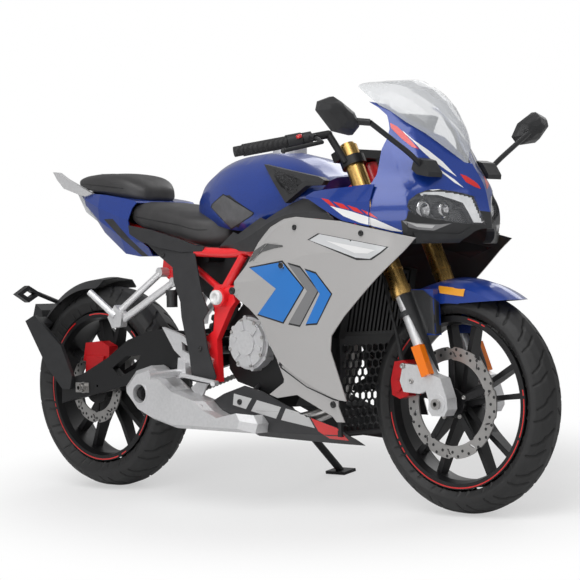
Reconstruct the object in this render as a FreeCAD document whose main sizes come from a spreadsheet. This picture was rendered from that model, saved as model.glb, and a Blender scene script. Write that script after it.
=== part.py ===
"""A sport motorcycle of the 300 cm3 class, leaning to the left on its side stand.

Every piece is made on the upright motorcycle: X points ahead, Y to the left, Z up, with the
origin on the ground below the rear axle. At the end one placement leans them all over, so that
the centre of the bottom of the whole box lies at the origin.
"""
import FreeCAD, Part
import math
import os

import Sketcher
from FreeCAD import Placement, Rotation, Vector

SIZES = {
    "wheelbase": 1380.0,
    "rake_angle": 24.5,
    "fork_offset": 35.0,
    "lean_angle": 9.0,
    "middle_rear": 450.0,
    "middle_front": 1050.0,
    "front_run": 330.0,
    "front_tyre_radius": 293.0,
    "front_tyre_width": 110.0,
    "front_crown_drop": 43.0,
    "rear_tyre_radius": 306.0,
    "rear_tyre_width": 150.0,
    "rear_crown_drop": 45.0,
    "tyre_wall": 8.0,
    "bead_radius": 216.0,
    "flange_radius": 227.0,
    "rim_wall": 5.0,
    "front_rim_width": 90.0,
    "rear_rim_width": 114.0,
    "bead_clearance": 0.2,
    "front_hub_radius": 27.0,
    "rear_hub_radius": 38.0,
    "front_hub_width": 104.0,
    "rear_hub_width": 130.0,
    "axle_radius": 10.0,
    "axle_bore": 6.0,
    "axle_clearance": 0.05,
    "front_disc_radius": 146.0,
    "rear_disc_radius": 110.0,
    "disc_thickness": 4.5,
    "front_disc_side": 58.0,
    "rear_disc_side": 72.0,
    "fork_spread": 100.0,
    "fork_tube_radius": 25.5,
    "slider_radius": 18.5,
    "stem_radius": 15.0,
    "stem_clearance": 0.1,
    "head_tube_radius": 27.0,
    "frame_tube_radius": 14.0,
    "rail_spread": 140.0,
    "pivot_x": 560.0,
    "pivot_z": 436.0,
    "arm_inner": 99.0,
    "arm_wall": 26.0,
    "chain_pitch": 15.875,
    "rear_sprocket_teeth": 38.0,
    "front_sprocket_teeth": 15.0,
    "chain_line": 87.0,
    "chain_width": 13.0,
    "chain_plate": 2.6,
    "chain_roller": 4.0,
    "panel_wall": 3.0,
    "seat_gap": 0.3,
    "stand_x": 600.0,
    "stand_y": 128.0,
    "stand_z": 262.0,
    "stand_splay": 40.0,
    "stand_rake": 12.0,
    "stand_pin_radius": 6.0,
    "pin_clearance": 0.05,
}

DOC = FreeCAD.newDocument("sport_motorcycle")
SHEET = DOC.addObject("Spreadsheet::Sheet", "Sizes")
for row, (alias, value) in enumerate(SIZES.items(), start=1):
    SHEET.set(f"A{row}", alias)
    SHEET.set(f"B{row}", str(value))
    SHEET.setAlias(f"B{row}", alias)
DOC.recompute()

PIECES = {}


def size(name):
    """Read one driving dimension from the sheet."""
    return float(SHEET.get(name))


def value(formula):
    """Work out a formula written in the names of the sheet."""
    return float(SHEET.evalExpression(formula))


WHEELBASE = size("wheelbase")
RAKE = math.radians(size("rake_angle"))
LEAN = math.radians(size("lean_angle"))
FRONT_R = size("front_tyre_radius")
REAR_R = size("rear_tyre_radius")
PIVOT_X = size("pivot_x")
PIVOT_Z = size("pivot_z")
WALL = size("panel_wall")
GAP = size("seat_gap")


def along(x):
    """Place of a station along the motorcycle, with its middle stretched to the wheelbase."""
    rear = size("middle_rear")
    front = size("middle_front")
    extra = WHEELBASE - front - size("front_run")
    if x <= rear:
        return x
    if x >= front:
        return x + extra
    return x + extra * (x - rear) / (front - rear)


def at(x, y, z):
    """Point of the upright motorcycle."""
    return Vector(along(x), y, z)


def mirrored(shape):
    """The same shape on the other side of the motorcycle."""
    return shape.mirror(Vector(0, 0, 0), Vector(0, 1, 0))


def both(shape):
    """A shape with its mirror image."""
    return Part.makeCompound([shape, mirrored(shape)])


def add(label, shape):
    """Keep a finished piece under its label."""
    piece = DOC.addObject("Part::Feature", label)
    piece.Label = label
    piece.Shape = shape
    PIECES[label] = (piece, piece.Placement)
    return shape


def rod(start, end, radius, bore=0.0):
    """Round bar between two points, hollow where a bore is given."""
    run = end.sub(start)
    bar = Part.makeCylinder(radius, run.Length, start, run)
    if bore:
        bar = bar.cut(Part.makeCylinder(bore, run.Length, start, run))
    return bar


def bent_tube(points, radius, bore=0.0):
    """Tube along straight runs that are joined by tangent arcs."""
    path = Part.Wire(Part.makePolygon(points).Edges)
    if len(points) > 2:
        edges = []
        start = points[0]
        for before, corner, after in zip(points, points[1:], points[2:]):
            come = corner.sub(before)
            go = after.sub(corner)
            turn = come.getAngle(go)
            back = 0.45 * min(come.Length, go.Length)
            reach = back / math.tan(turn / 2)
            first = corner.sub(Vector(come).normalize().multiply(back))
            last = corner.add(Vector(go).normalize().multiply(back))
            inward = Vector(go).normalize().sub(Vector(come).normalize()).normalize()
            middle = corner.add(inward.multiply(reach / math.cos(turn / 2) - reach))
            edges.append(Part.LineSegment(start, first).toShape())
            edges.append(Part.Arc(first, middle, last).toShape())
            start = last
        edges.append(Part.LineSegment(start, points[-1]).toShape())
        path = Part.Wire(edges)
    heading = points[1].sub(points[0])
    solid = path.makePipeShell([Part.Wire(Part.makeCircle(radius, points[0], heading))], True, False)
    if bore:
        hole = path.makePipeShell([Part.Wire(Part.makeCircle(bore, points[0], heading))], True, False)
        solid = solid.cut(hole)
    return solid


def slab(outline, y_from, y_to):
    """Side-view outline, drawn in X and Z, pushed through from one Y to another."""
    corners = [at(x, y_from, z) for x, z in outline]
    face = Part.Face(Part.makePolygon(corners + corners[:1]))
    return face.extrude(Vector(0, y_to - y_from, 0))


def front_slab(outline, x_from, x_to):
    """Front-view outline, drawn in Y and Z, pushed through from one station to another."""
    corners = [at(x_from, y, z) for y, z in outline]
    face = Part.Face(Part.makePolygon(corners + corners[:1]))
    return face.extrude(Vector(x_to - x_from, 0, 0))


def block(x_from, x_to, y_from, y_to, z_from, z_to):
    """Box between two corners."""
    return slab([(x_from, z_from), (x_to, z_from), (x_to, z_to), (x_from, z_to)], y_from, y_to)


def ring_wire(points):
    """Closed wire of straight edges."""
    return Part.makePolygon(list(points) + [points[0]])


def loft(sections, ruled=False):
    """Solid through a row of closed sections."""
    return Part.makeLoft([ring_wire(points) for points in sections], True, ruled)


def fuse(shapes):
    """One solid from shapes that meet."""
    first = shapes[0]
    if len(shapes) == 1:
        return first
    return first.fuse(shapes[1:]).removeSplitter()


def plane_of(body, role):
    """Origin plane of a body, found by its role."""
    return [feature for feature in body.Origin.OriginFeatures if feature.Role == role][0]


def new_body(name):
    """Empty body that may hold loops that meet later."""
    body = DOC.addObject("PartDesign::Body", name)
    body.AllowCompound = True
    return body


def new_sketch(body, role, name):
    """Sketch on one of the body's own origin planes."""
    sketch = body.newObject("Sketcher::SketchObject", name)
    sketch.AttachmentSupport = [(plane_of(body, role), "")]
    sketch.MapMode = "FlatFace"
    return sketch


def bind_point(sketch, curve, end, across, up):
    """Tie one end of a curve to formulas of the sheet."""
    for kind, formula in (("DistanceX", across), ("DistanceY", up)):
        number = sketch.addConstraint(Sketcher.Constraint(kind, -1, 1, curve, end, value(formula)))
        sketch.setExpression(f"Constraints[{number}]", formula)


def draw_loop(sketch, corners):
    """Closed loop of straight edges whose corners are formulas of the sheet."""
    first = sketch.GeometryCount
    places = [Vector(value(across), value(up), 0) for across, up in corners]
    for start, end in zip(places, places[1:] + places[:1]):
        sketch.addGeometry(Part.LineSegment(start, end), False)
    count = len(corners)
    for step, (across, up) in enumerate(corners):
        following = first + (step + 1) % count
        sketch.addConstraint(Sketcher.Constraint("Coincident", first + step, 2, following, 1))
        bind_point(sketch, first + step, 1, across, up)


def draw_circle(sketch, across, up, radius):
    """Circle whose centre and radius are formulas of the sheet."""
    centre = Vector(value(across), value(up), 0)
    circle = sketch.addGeometry(Part.Circle(centre, Vector(0, 0, 1), value(radius)), False)
    bind_point(sketch, circle, 3, across, up)
    number = sketch.addConstraint(Sketcher.Constraint("Radius", circle, value(radius)))
    sketch.setExpression(f"Constraints[{number}]", radius)


def revolve(body, sketch, name, kind="PartDesign::Revolution"):
    """Turn a sketch about the sketch's own level axis."""
    feature = body.newObject(kind, name)
    feature.Profile = sketch
    feature.ReferenceAxis = (sketch, ["H_Axis"])
    feature.Angle = 360
    return feature


def polar(body, feature, sketch, name, count):
    """Repeat a feature around the normal of a sketch."""
    pattern = body.newObject("PartDesign::PolarPattern", name)
    pattern.Originals = [feature]
    pattern.Axis = (sketch, ["N_Axis"])
    pattern.Angle = 360
    pattern.Occurrences = count
    body.Tip = pattern
    return pattern


def keep_body(label, body, home):
    """Keep a finished body under its label."""
    DOC.recompute()
    body.Label = label
    PIECES[label] = (body, home)


FRONT_HOME = Placement(Vector(WHEELBASE, 0, FRONT_R), Rotation())
REAR_HOME = Placement(Vector(0, 0, REAR_R), Rotation())


def tyre(end):
    """Tyre of one end, hollow and open towards its rim."""
    body = new_body(f"{end}_tyre_body")
    sketch = new_sketch(body, "YZ_Plane", f"{end}_tyre_section")
    s = "Sizes."
    half = f"{s}{end}_tyre_width / 2"
    outer = f"{s}{end}_tyre_radius"
    wall = f"{s}tyre_wall"
    rim = f"{s}{end}_rim_width / 2"
    bead = f"{s}bead_radius + {s}bead_clearance"
    drop = f"{s}{end}_crown_drop"
    crown = [
        (f"-{half}", f"{outer} - {drop}"),
        (f"-{half} * 0.92", f"{outer} - {drop} * 0.68"),
        (f"-{half} * 0.72", f"{outer} - {drop} * 0.36"),
        (f"-{half} * 0.38", f"{outer} - {drop} * 0.09"),
        ("0", outer),
        (f"{half} * 0.38", f"{outer} - {drop} * 0.09"),
        (f"{half} * 0.72", f"{outer} - {drop} * 0.36"),
        (f"{half} * 0.92", f"{outer} - {drop} * 0.68"),
        (half, f"{outer} - {drop}"),
    ]
    toe = f"{rim} - {s}rim_wall - {s}bead_clearance"
    inner = [
        (toe, f"{s}flange_radius + 4"),
        (toe, bead),
        (f"{toe} - 14", bead),
        (f"{half} - {wall}", f"{outer} - {drop} - 4"),
        (f"{half} * 0.5", f"{outer} - {drop} * 0.16 - {wall}"),
        (f"-{half} * 0.5", f"{outer} - {drop} * 0.16 - {wall}"),
        (f"-({half} - {wall})", f"{outer} - {drop} - 4"),
        (f"-({toe} - 14)", bead),
        (f"-({toe})", bead),
        (f"-({toe})", f"{s}flange_radius + 4"),
    ]
    draw_loop(sketch, crown + inner)
    revolve(body, sketch, f"{end}_tyre_turned")
    return body


def rim(end):
    """Cast wheel with five twin spokes, its barrel and its bored hub."""
    body = new_body(f"{end}_rim_body")
    s = "Sizes."
    hub = f"{s}{end}_hub_radius"
    half_hub = f"{s}{end}_hub_width / 2"
    half_rim = f"{s}{end}_rim_width / 2"
    bead = f"{s}bead_radius"
    wall = f"{s}rim_wall"
    flange = f"{s}flange_radius"
    inside = f"{bead} - 2.4 * {wall}"
    spokes = new_sketch(body, "XZ_Plane", f"{end}_spoke_outline")
    for side in (1, -1):
        draw_loop(spokes, [
            (f"{side} * 3", f"{hub} - 6"),
            (f"{side} * 19", f"{hub} - 6"),
            (f"{side} * 30", f"({hub} + {inside}) / 2"),
            (f"{side} * 52", f"{inside} + 3"),
            (f"{side} * 36", f"{inside} + 6"),
            (f"{side} * 17", f"({hub} + {inside}) / 2"),
        ])
    pad = body.newObject("PartDesign::Pad", f"{end}_spoke_pair")
    pad.Profile = spokes
    pad.Length = 60
    pad.Midplane = True
    polar(body, pad, spokes, f"{end}_spokes", 5)
    DOC.recompute()
    taper = new_sketch(body, "YZ_Plane", f"{end}_spoke_taper")
    for side in (1, -1):
        draw_loop(taper, [
            (f"{side} * 27", f"{hub} - 8"),
            (f"{side} * 14", f"{inside} + 8"),
            (f"{side} * 40", f"{inside} + 8"),
            (f"{side} * 40", f"{hub} - 8"),
        ])
    revolve(body, taper, f"{end}_spoke_taper_cut", "PartDesign::Groove")
    section = new_sketch(body, "YZ_Plane", f"{end}_rim_section")
    draw_loop(section, [
        (f"-{half_rim}", flange),
        (f"-({half_rim} - {wall})", flange),
        (f"-({half_rim} - {wall})", bead),
        (f"-({half_rim} - {wall} - 16)", bead),
        (f"-({half_rim} - {wall} - 22)", f"{bead} - {wall}"),
        (f"{half_rim} - {wall} - 22", f"{bead} - {wall}"),
        (f"{half_rim} - {wall} - 16", bead),
        (f"{half_rim} - {wall}", bead),
        (f"{half_rim} - {wall}", flange),
        (half_rim, flange),
        (half_rim, f"{bead} - {wall}"),
        (f"{half_rim} - 20", inside),
        (f"-({half_rim} - 20)", inside),
        (f"-{half_rim}", f"{bead} - {wall}"),
    ])
    bore = f"{s}axle_radius + {s}axle_clearance"
    draw_loop(section, [
        (f"-{half_hub}", bore),
        (f"-{half_hub}", f"{hub} - 4"),
        ("-32", hub),
        ("32", hub),
        (half_hub, f"{hub} - 4"),
        (half_hub, bore),
    ])
    revolve(body, section, f"{end}_barrel_and_hub")
    return body


def disc(end, petals):
    """Brake disc with a wavy edge and slots, open in the middle."""
    body = new_body(f"{end}_disc_body")
    s = "Sizes."
    radius = f"{s}{end}_disc_radius"
    ring = new_sketch(body, "XZ_Plane", f"{end}_disc_ring")
    draw_circle(ring, "0", "0", radius)
    draw_circle(ring, "0", "0", f"{radius} - 34")
    pad = body.newObject("PartDesign::Pad", f"{end}_disc_pad")
    pad.Profile = ring
    pad.Midplane = True
    pad.setExpression("Length", f"{s}disc_thickness")
    DOC.recompute()
    notch = new_sketch(body, "XZ_Plane", f"{end}_disc_notch")
    draw_circle(notch, "0", f"{radius} + 11", "16")
    draw_loop(notch, [
        ("5", f"{radius} - 11"),
        ("11", f"{radius} - 13"),
        ("19", f"{radius} - 27"),
        ("13", f"{radius} - 26"),
    ])
    pocket = body.newObject("PartDesign::Pocket", f"{end}_disc_notches")
    pocket.Profile = notch
    pocket.Type = 1
    pocket.Midplane = True
    polar(body, pocket, notch, f"{end}_disc_waves", petals)
    return body


def disc_home(end):
    """Place of the brake disc on the right of its wheel."""
    wheel = FRONT_HOME if end == "front" else REAR_HOME
    return Placement(wheel.Base.add(Vector(0, -size(f"{end}_disc_side"), 0)), Rotation())


def disc_carrier(end, arms):
    """Dark star that carries the brake disc on the hub, with its bobbins."""
    home = disc_home(end)
    thick = size("disc_thickness")
    inner = size(f"{end}_disc_radius") - 34
    hub_face = size(f"{end}_hub_width") / 2
    bore = size(f"{end}_hub_radius") - 12
    centre = home.Base
    inset = Vector(0, size(f"{end}_disc_side") - hub_face, 0)
    plate = Part.makeCylinder(size(f"{end}_hub_radius") + 12, thick, centre.add(Vector(0, thick / 2, 0)),
                              Vector(0, -1, 0))
    pieces = [plate]
    collar = Part.makeCylinder(size(f"{end}_hub_radius") - 4.5, abs(inset.y) - thick / 2 + 0.01,
                               centre.add(inset), Vector(0, -1, 0))
    pieces.append(collar)
    for arm in range(arms):
        turn = 360.0 / arms * arm
        beam = Part.makeBox(18, thick, inner - 20, Vector(-9, -thick / 2, 20))
        bobbin = Part.makeCylinder(7, thick + 3, Vector(0, thick / 2 + 1.5, inner - 4), Vector(0, -1, 0))
        for bit in (beam, bobbin):
            bit.rotate(Vector(0, 0, 0), Vector(0, 1, 0), turn)
            bit.translate(centre)
            pieces.append(bit)
    star = fuse(pieces)
    hole = Part.makeCylinder(bore, 80, centre.add(Vector(0, 40, 0)), Vector(0, -1, 0))
    return star.cut(hole)


def wheels():
    """Tyres, rims, discs and axles of both wheels."""
    for end, home in (("front", FRONT_HOME), ("rear", REAR_HOME)):
        keep_body(f"{end}_tyre", tyre(end), home)
        keep_body(f"{end}_rim", rim(end), home)
    keep_body("front_disc", disc("front", 10), disc_home("front"))
    keep_body("rear_disc", disc("rear", 8), disc_home("rear"))
    disc_shape = PIECES["front_disc"][0].Shape.copy()
    disc_shape.Placement = disc_home("front")
    add("front_disc_carrier", disc_carrier("front", 5).cut(disc_shape))
    disc_shape = PIECES["rear_disc"][0].Shape.copy()
    disc_shape.Placement = disc_home("rear")
    add("rear_disc_carrier", disc_carrier("rear", 4).cut(disc_shape))


FORK_UP = Vector(-math.sin(RAKE), 0, math.cos(RAKE))
FRONT_AXLE = FRONT_HOME.Base
STEER_FOOT = FRONT_AXLE.sub(Vector(size("fork_offset") / math.cos(RAKE), 0, 0))


def fork_point(distance, y, ahead=0.0):
    """Point on a fork leg's line, at a distance from the axle and a step ahead of the line."""
    place = FRONT_AXLE.add(Vector(FORK_UP).multiply(distance))
    forward = Vector(math.cos(RAKE), 0, math.sin(RAKE))
    return place.add(forward.multiply(ahead)).add(Vector(0, y, 0))


def steer_point(distance, ahead=0.0, y=0.0):
    """Point on the steering axis, at a distance from its foot beside the front axle."""
    forward = Vector(math.cos(RAKE), 0, math.sin(RAKE))
    shift = -size("fork_offset")
    return fork_point(distance, y, shift + ahead)


TUBE_LOW = 318.0
TUBE_TOP = 748.0
CLAMP_LOW = 520.0
CLAMP_TOP = 716.0


def fork():
    """Upside-down fork: upper tubes, sliders with axle feet, clamps, stem and the front axle."""
    spread = size("fork_spread")
    outer = size("fork_tube_radius")
    inner = size("slider_radius")
    uppers = []
    lowers = []
    for side in (-1, 1):
        y = side * spread
        upper = rod(fork_point(TUBE_LOW, y), fork_point(TUBE_TOP, y), outer)
        collar = rod(fork_point(TUBE_LOW - 12, y), fork_point(TUBE_LOW + 14, y), outer + 3)
        band = rod(fork_point(TUBE_LOW + 60, y), fork_point(TUBE_LOW + 66, y), outer + 1.5)
        cap = rod(fork_point(TUBE_TOP, y), fork_point(TUBE_TOP + 8, y), outer - 6)
        uppers.append(fuse([upper, collar, band, cap]))
        slider = rod(fork_point(-6, y), fork_point(TUBE_LOW - 12, y), inner)
        foot = slab([
            (1362, 262), (1402, 262), (1414, 280), (1412, 308), (1392, 360), (1352, 372), (1330, 362),
            (1352, 300), (1350, 276),
        ], y - 20, y + 20)
        boss = Part.makeCylinder(26, 44, Vector(WHEELBASE, y + 22, FRONT_R), Vector(0, -1, 0))
        hole = Part.makeCylinder(size("axle_radius"), 60, Vector(WHEELBASE, y + 30, FRONT_R), Vector(0, -1, 0))
        lug_parts = []
        if side < 0:
            lug = slab([(1340, 372), (1350, 330), (1316, 318), (1262, 322), (1250, 350), (1262, 396),
                        (1310, 392)], -114, -100)
            lug_parts.append(lug)
        lowers.append(fuse([slider, foot, boss] + lug_parts).cut(hole))
    add("fork_tubes", Part.makeCompound(uppers))
    add("fork_sliders", Part.makeCompound(lowers))
    clamp_bits = []
    for level, thick in ((CLAMP_LOW, 34.0), (CLAMP_TOP, 26.0)):
        half = [(-24, 0), (-24, 30), (2, spread - 14), (2, spread + 38), (38, spread + 38), (38, 0)]
        ring = [Vector(x, y, 0) for x, y in half] + [Vector(x, -y, 0) for x, y in half[::-1] if y]
        plate = Part.Face(ring_wire(ring)).extrude(Vector(0, 0, thick))
        middle = Part.makeCylinder(30, thick)
        turned = fuse([plate, middle])
        turned.Placement = Placement(steer_point(level), Rotation(Vector(0, 1, 0), -math.degrees(RAKE)))
        for side in (-1, 1):
            leg = rod(fork_point(level - 20, side * spread), fork_point(level + 60, side * spread), outer)
            turned = turned.cut(leg)
        clamp_bits.append(turned)
    stem = rod(steer_point(CLAMP_LOW), steer_point(CLAMP_TOP + 26), size("stem_radius"))
    nut = rod(steer_point(CLAMP_TOP + 26), steer_point(CLAMP_TOP + 38), 17)
    add("triple_clamps", fuse(clamp_bits + [stem, nut]))
    axle_half = spread + 30
    axle = Part.makeCylinder(size("axle_radius"), 2 * axle_half, Vector(WHEELBASE, axle_half, FRONT_R),
                             Vector(0, -1, 0))
    bore = Part.makeCylinder(size("axle_bore"), 2 * axle_half + 20,
                             Vector(WHEELBASE, axle_half + 10, FRONT_R), Vector(0, -1, 0))
    heads = []
    for side in (-1, 1):
        start = Vector(WHEELBASE, side * (spread + 22), FRONT_R)
        heads.append(Part.makeCylinder(14, 8, start, Vector(0, side, 0)))
    spacers = []
    for side in (-1, 1):
        start = Vector(WHEELBASE, side * (size("front_hub_width") / 2 + GAP), FRONT_R)
        length = spread - 22 - size("front_hub_width") / 2 - GAP
        spacers.append(Part.makeCylinder(13, length, start, Vector(0, side, 0)))
    add("front_axle", fuse([axle] + heads + spacers).cut(bore))


def front_fender():
    """Pointed mudguard that follows the front tyre and bolts to the fork legs."""
    ridge = 33.0
    profile = [
        (0, ridge), (46, 24), (66, 6), (70, -34), (70 - WALL, -34), (66 - WALL, 4), (44, 24 - WALL),
        (0, ridge - WALL), (-44, 24 - WALL), (-(66 - WALL), 4), (-(70 - WALL), -34), (-70, -34),
        (-66, 6), (-46, 24),
    ]
    corners = [FRONT_AXLE.add(Vector(0, y, FRONT_R + rise)) for y, rise in profile]
    hoop = Part.Face(ring_wire(corners)).revolve(FRONT_AXLE, Vector(0, 1, 0), 360)
    keep = slab([
        (1236, 640), (1258, 560), (1342, 536), (1420, 552), (1500, 556), (1568, 560), (1600, 640),
    ], -90, 90)
    fender = hoop.common(keep)
    for side in (-1, 1):
        y = side * size("fork_spread")
        lug = slab([(1262, 590), (1300, 470), (1356, 470), (1350, 590)], side * 67, side * 92)
        sleeve = rod(fork_point(60, y), fork_point(TUBE_LOW + 40, y), size("slider_radius") + 9)
        fender = fender.fuse(lug.cut(sleeve))
    return largest(seated(fender.removeSplitter(), solids("fork_tubes"), solids("fork_sliders"),
                          solids("fork_guards")))


def fork_guards():
    """Half-round guards in front of the sliders."""
    shields = []
    for side in (-1, 1):
        y = side * size("fork_spread")
        shell = rod(fork_point(60, y), fork_point(TUBE_LOW - 14, y), size("slider_radius") + 9,
                    size("slider_radius") + 6)
        front = slab([(1254, 590), (1320, 600), (1400, 560), (1420, 430), (1384, 353), (1340, 440)],
                     y - 40, y + 40)
        strap = rod(fork_point(250, y), fork_point(262, y), size("slider_radius") + 9,
                    size("slider_radius"))
        shields.append(shell.common(front).fuse(strap).removeSplitter())
    return Part.makeCompound(shields)


def front_caliper():
    """Two-piston caliper that straddles the front disc behind the right leg."""
    side = -size("front_disc_side")
    outline = [
        (1216, 400), (1202, 352), (1206, 312), (1232, 302), (1262, 310), (1268, 352), (1264, 396),
        (1246, 404),
    ]
    body = slab(outline, side - 36, side + 16)
    slot = Part.makeCylinder(size("front_disc_radius") + 6, 12, Vector(WHEELBASE, side + 6, FRONT_R),
                             Vector(0, -1, 0))
    caps = []
    for x, z in ((1228, 336), (1240, 374)):
        caps.append(Part.makeCylinder(15, 7, at(x, side - 36, z), Vector(0, -1, 0)))
    block_shape = fuse([body] + caps).cut(slot)
    lug = slab([(1262, 390), (1262, 330), (1290, 334), (1296, 384)], -100, -88)
    return block_shape.fuse(lug).removeSplitter()


def clip_ons():
    """Clip-on bars with grips, switch housings, levers and the brake reservoir."""
    spread = size("fork_spread")
    bars = []
    grips = []
    housings = []
    levers = []
    for side in (-1, 1):
        clamp = rod(fork_point(CLAMP_TOP - 26, side * spread), fork_point(CLAMP_TOP - 1, side * spread),
                    size("fork_tube_radius") + 9)
        clamp = clamp.cut(rod(fork_point(400, side * spread), fork_point(800, side * spread),
                              size("fork_tube_radius")))
        root = fork_point(CLAMP_TOP - 14, side * (spread + 30))
        elbow = at(1046, side * 150, 1008)
        bar_end = at(915, side * 352, 965)
        stalk = rod(root, elbow, 10).cut(clamp)
        bar = rod(elbow, bar_end, 11)
        bars.append(seated(fuse([clamp, stalk, bar, Part.makeSphere(11, elbow)]),
                           solids("triple_clamps"), solids("fork_tubes")))
        reach = bar_end.sub(elbow)
        unit = Vector(reach).normalize()

        def on_bar(distance):
            """Point on the bar, measured from its outer end."""
            return bar_end.sub(Vector(unit).multiply(distance))

        grip = rod(on_bar(6), on_bar(126), 16.5, 11)
        weight = rod(on_bar(6), on_bar(-18), 14, 0)
        grips.append(grip.fuse(weight.cut(rod(on_bar(7), on_bar(0), 11))).removeSplitter())
        housings.append(rod(on_bar(127), on_bar(168), 19, 11))
        perch = rod(on_bar(170), on_bar(196), 17, 11)
        arm_start = on_bar(183).add(Vector(22, 0, 4))
        pivot = on_bar(178).add(Vector(40, 0, 0))
        mount = rod(arm_start.sub(Vector(4, 0, 0)), pivot, 9).cut(rod(on_bar(0), on_bar(260), 11.0))
        tip = at(1058, side * 338, 957)
        knuckle = at(1088, side * 222, 982)
        lever = fuse([rod(pivot, knuckle, 5.5), Part.makeSphere(5.5, knuckle), rod(knuckle, tip, 5.5),
                      Part.makeSphere(7.5, tip)])
        levers.append(fuse([perch, mount, lever]))
    add("handlebars", Part.makeCompound(bars))
    add("grips", Part.makeCompound(grips))
    add("bar_controls", Part.makeCompound(housings + levers))


def brake_hose():
    """Front brake hose from the caliper to the block on the lower clamp."""
    top = steer_point(CLAMP_LOW - 4, -12, -62)
    points = [at(1236, -84, 400), at(1226, -90, 460), at(1206, -95, 540), at(1184, -92, 620), at(1146, -78, 700),
              top]
    hose = bent_tube(points, 4.5)
    ferrule = rod(at(1236, -84, 396), at(1230, -88, 430), 7)
    block_top = rod(top, steer_point(CLAMP_LOW + 2, -12, -62), 9)
    return seated(fuse([hose, ferrule, block_top]), solids("front_caliper"), solids("triple_clamps"))


def fork_reflectors():
    """Oblong reflectors on the outside of the fork guards."""
    plates = []
    for side in (-1, 1):
        plate = slab([(1306, 440), (1334, 448), (1366, 372), (1340, 362)], side * 112, side * 133)
        plates.append(plate)
    return seated(Part.makeCompound(plates), solids("fork_guards"), solids("fork_sliders"))


def wheel_axis_rod(x, z, y_from, y_to, radius):
    """Round bar across the motorcycle."""
    return Part.makeCylinder(radius, abs(y_to - y_from), at(x, y_from, z), Vector(0, math.copysign(1, y_to - y_from), 0))


def frame():
    """Trellis frame of round tubes, with its head tube and pivot plates."""
    tube = size("frame_tube_radius")
    spread = size("rail_spread")
    head_low = steer_point(CLAMP_LOW + 36)
    head_top = steer_point(CLAMP_TOP - 3)
    head = rod(head_low, head_top, size("head_tube_radius"))
    members = [head]
    for side in (-1, 1):
        top_head = head_top.add(Vector(0, side * 8, 0)).sub(Vector(FORK_UP).multiply(34))
        low_head = head_low.add(Vector(0, side * 6, 0)).add(Vector(FORK_UP).multiply(30))
        shoulder = at(960, side * spread, 776)
        corner = at(713, side * spread, 696)
        rear = at(520, side * spread, 706)
        pivot = at(622, side * spread, 586)
        knee = at(930, side * spread, 640)
        members += [
            bent_tube([top_head, shoulder, corner, rear], tube),
            bent_tube([low_head, knee, pivot], tube),
            rod(at(711, side * (spread + 0.4), 693), pivot, tube - 1.0),
            rod(at(926, side * (spread - 0.5), 656), at(954, side * (spread - 0.5), 764), tube - 3),
            rod(at(910, side * (spread + 0.5), 640), at(730, side * (spread + 0.5), 700), tube - 3.5),
        ]
        plate = slab([
            (583, 571), (597, 542), (590, 480), (PIVOT_X - 34, PIVOT_Z + 10), (PIVOT_X - 26, PIVOT_Z - 50),
            (PIVOT_X + 10, PIVOT_Z - 100), (PIVOT_X + 50, PIVOT_Z - 100), (PIVOT_X + 44, PIVOT_Z + 20),
            (660, 545), (680, 563), (660, 610), (600, 612),
        ], side * (spread - 12), side * (spread + 8))
        members.append(plate)
        boss = wheel_axis_rod(626, 575, side * (spread - 10), side * (spread + 26), 27)
        members.append(boss)
    for x, z in ((626, 575), (930, 640)):
        members.append(wheel_axis_rod(x, z, -spread, spread, tube - 2))
    whole = fuse(members)
    whole = whole.cut(rod(steer_point(CLAMP_LOW), steer_point(CLAMP_TOP + 60),
                          size("stem_radius") + size("stem_clearance")))
    pin = wheel_axis_rod(PIVOT_X, PIVOT_Z, -spread - 20, spread + 20, 10)
    return whole.cut(pin)


def subframe():
    """Seat rails with their crossbars."""
    spread = size("rail_spread")
    tube = size("frame_tube_radius") - 4
    bits = []
    for side in (-1, 1):
        front = at(520, side * (spread - 20), 704)
        step = at(330, side * 85, 740)
        tail = at(-20, side * 62, 858)
        low = at(590, side * (spread - 20), 600)
        bits += [rod(front, step, tube), Part.makeSphere(tube, step), rod(step, tail, tube),
                 rod(low, step, tube), rod(at(528, side * spread, 704), front, tube)]
        bits.append(Part.makeSphere(tube, front))
    for side in (-1, 1):
        bits.append(slab([(388, 606), (420, 606), (452, 668), (336, 738), (322, 662), (340, 634)],
                         side * 78, side * 90))
    bits.append(rod(at(330, -85, 740), at(330, 85, 740), tube))
    bits.append(rod(at(-10, -63, 855), at(-10, 63, 855), tube))
    return fuse(bits)


def station_skin(stations, thickness, closed_side=-1):
    """Thin panel lofted through stations, each a row of (across, up) points on the right side."""
    sections = []
    for x, row in stations:
        outer = [at(x, closed_side * across, up) for across, up in row]
        inner = [at(x, closed_side * (across - thickness), up) for across, up in row]
        sections.append(outer + inner[::-1])
    return loft(sections)


def level_skin(levels, thickness):
    """Thin panel lofted through levels, each a row of (station, across) points on the right side."""
    sections = []
    for z, row in levels:
        outer = [at(x, -across, z) for x, across in row]
        inner = [at(x, -(across - thickness), z) for x, across in row]
        sections.append(outer + inner[::-1])
    return loft(sections)


def seated(shape, *carriers):
    """Shape cut back to lie face to face on what carries it."""
    for carrier in carriers:
        shape = shape.cut(carrier)
    return shape


def largest(shape):
    """The biggest solid of a shape, without its offcuts."""
    return max(shape.Solids, key=lambda solid: solid.Volume)


def solids(label):
    """Shape of a finished piece in its place on the upright motorcycle."""
    piece, home = PIECES[label]
    shape = piece.Shape.copy()
    shape.Placement = home
    return shape


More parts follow.
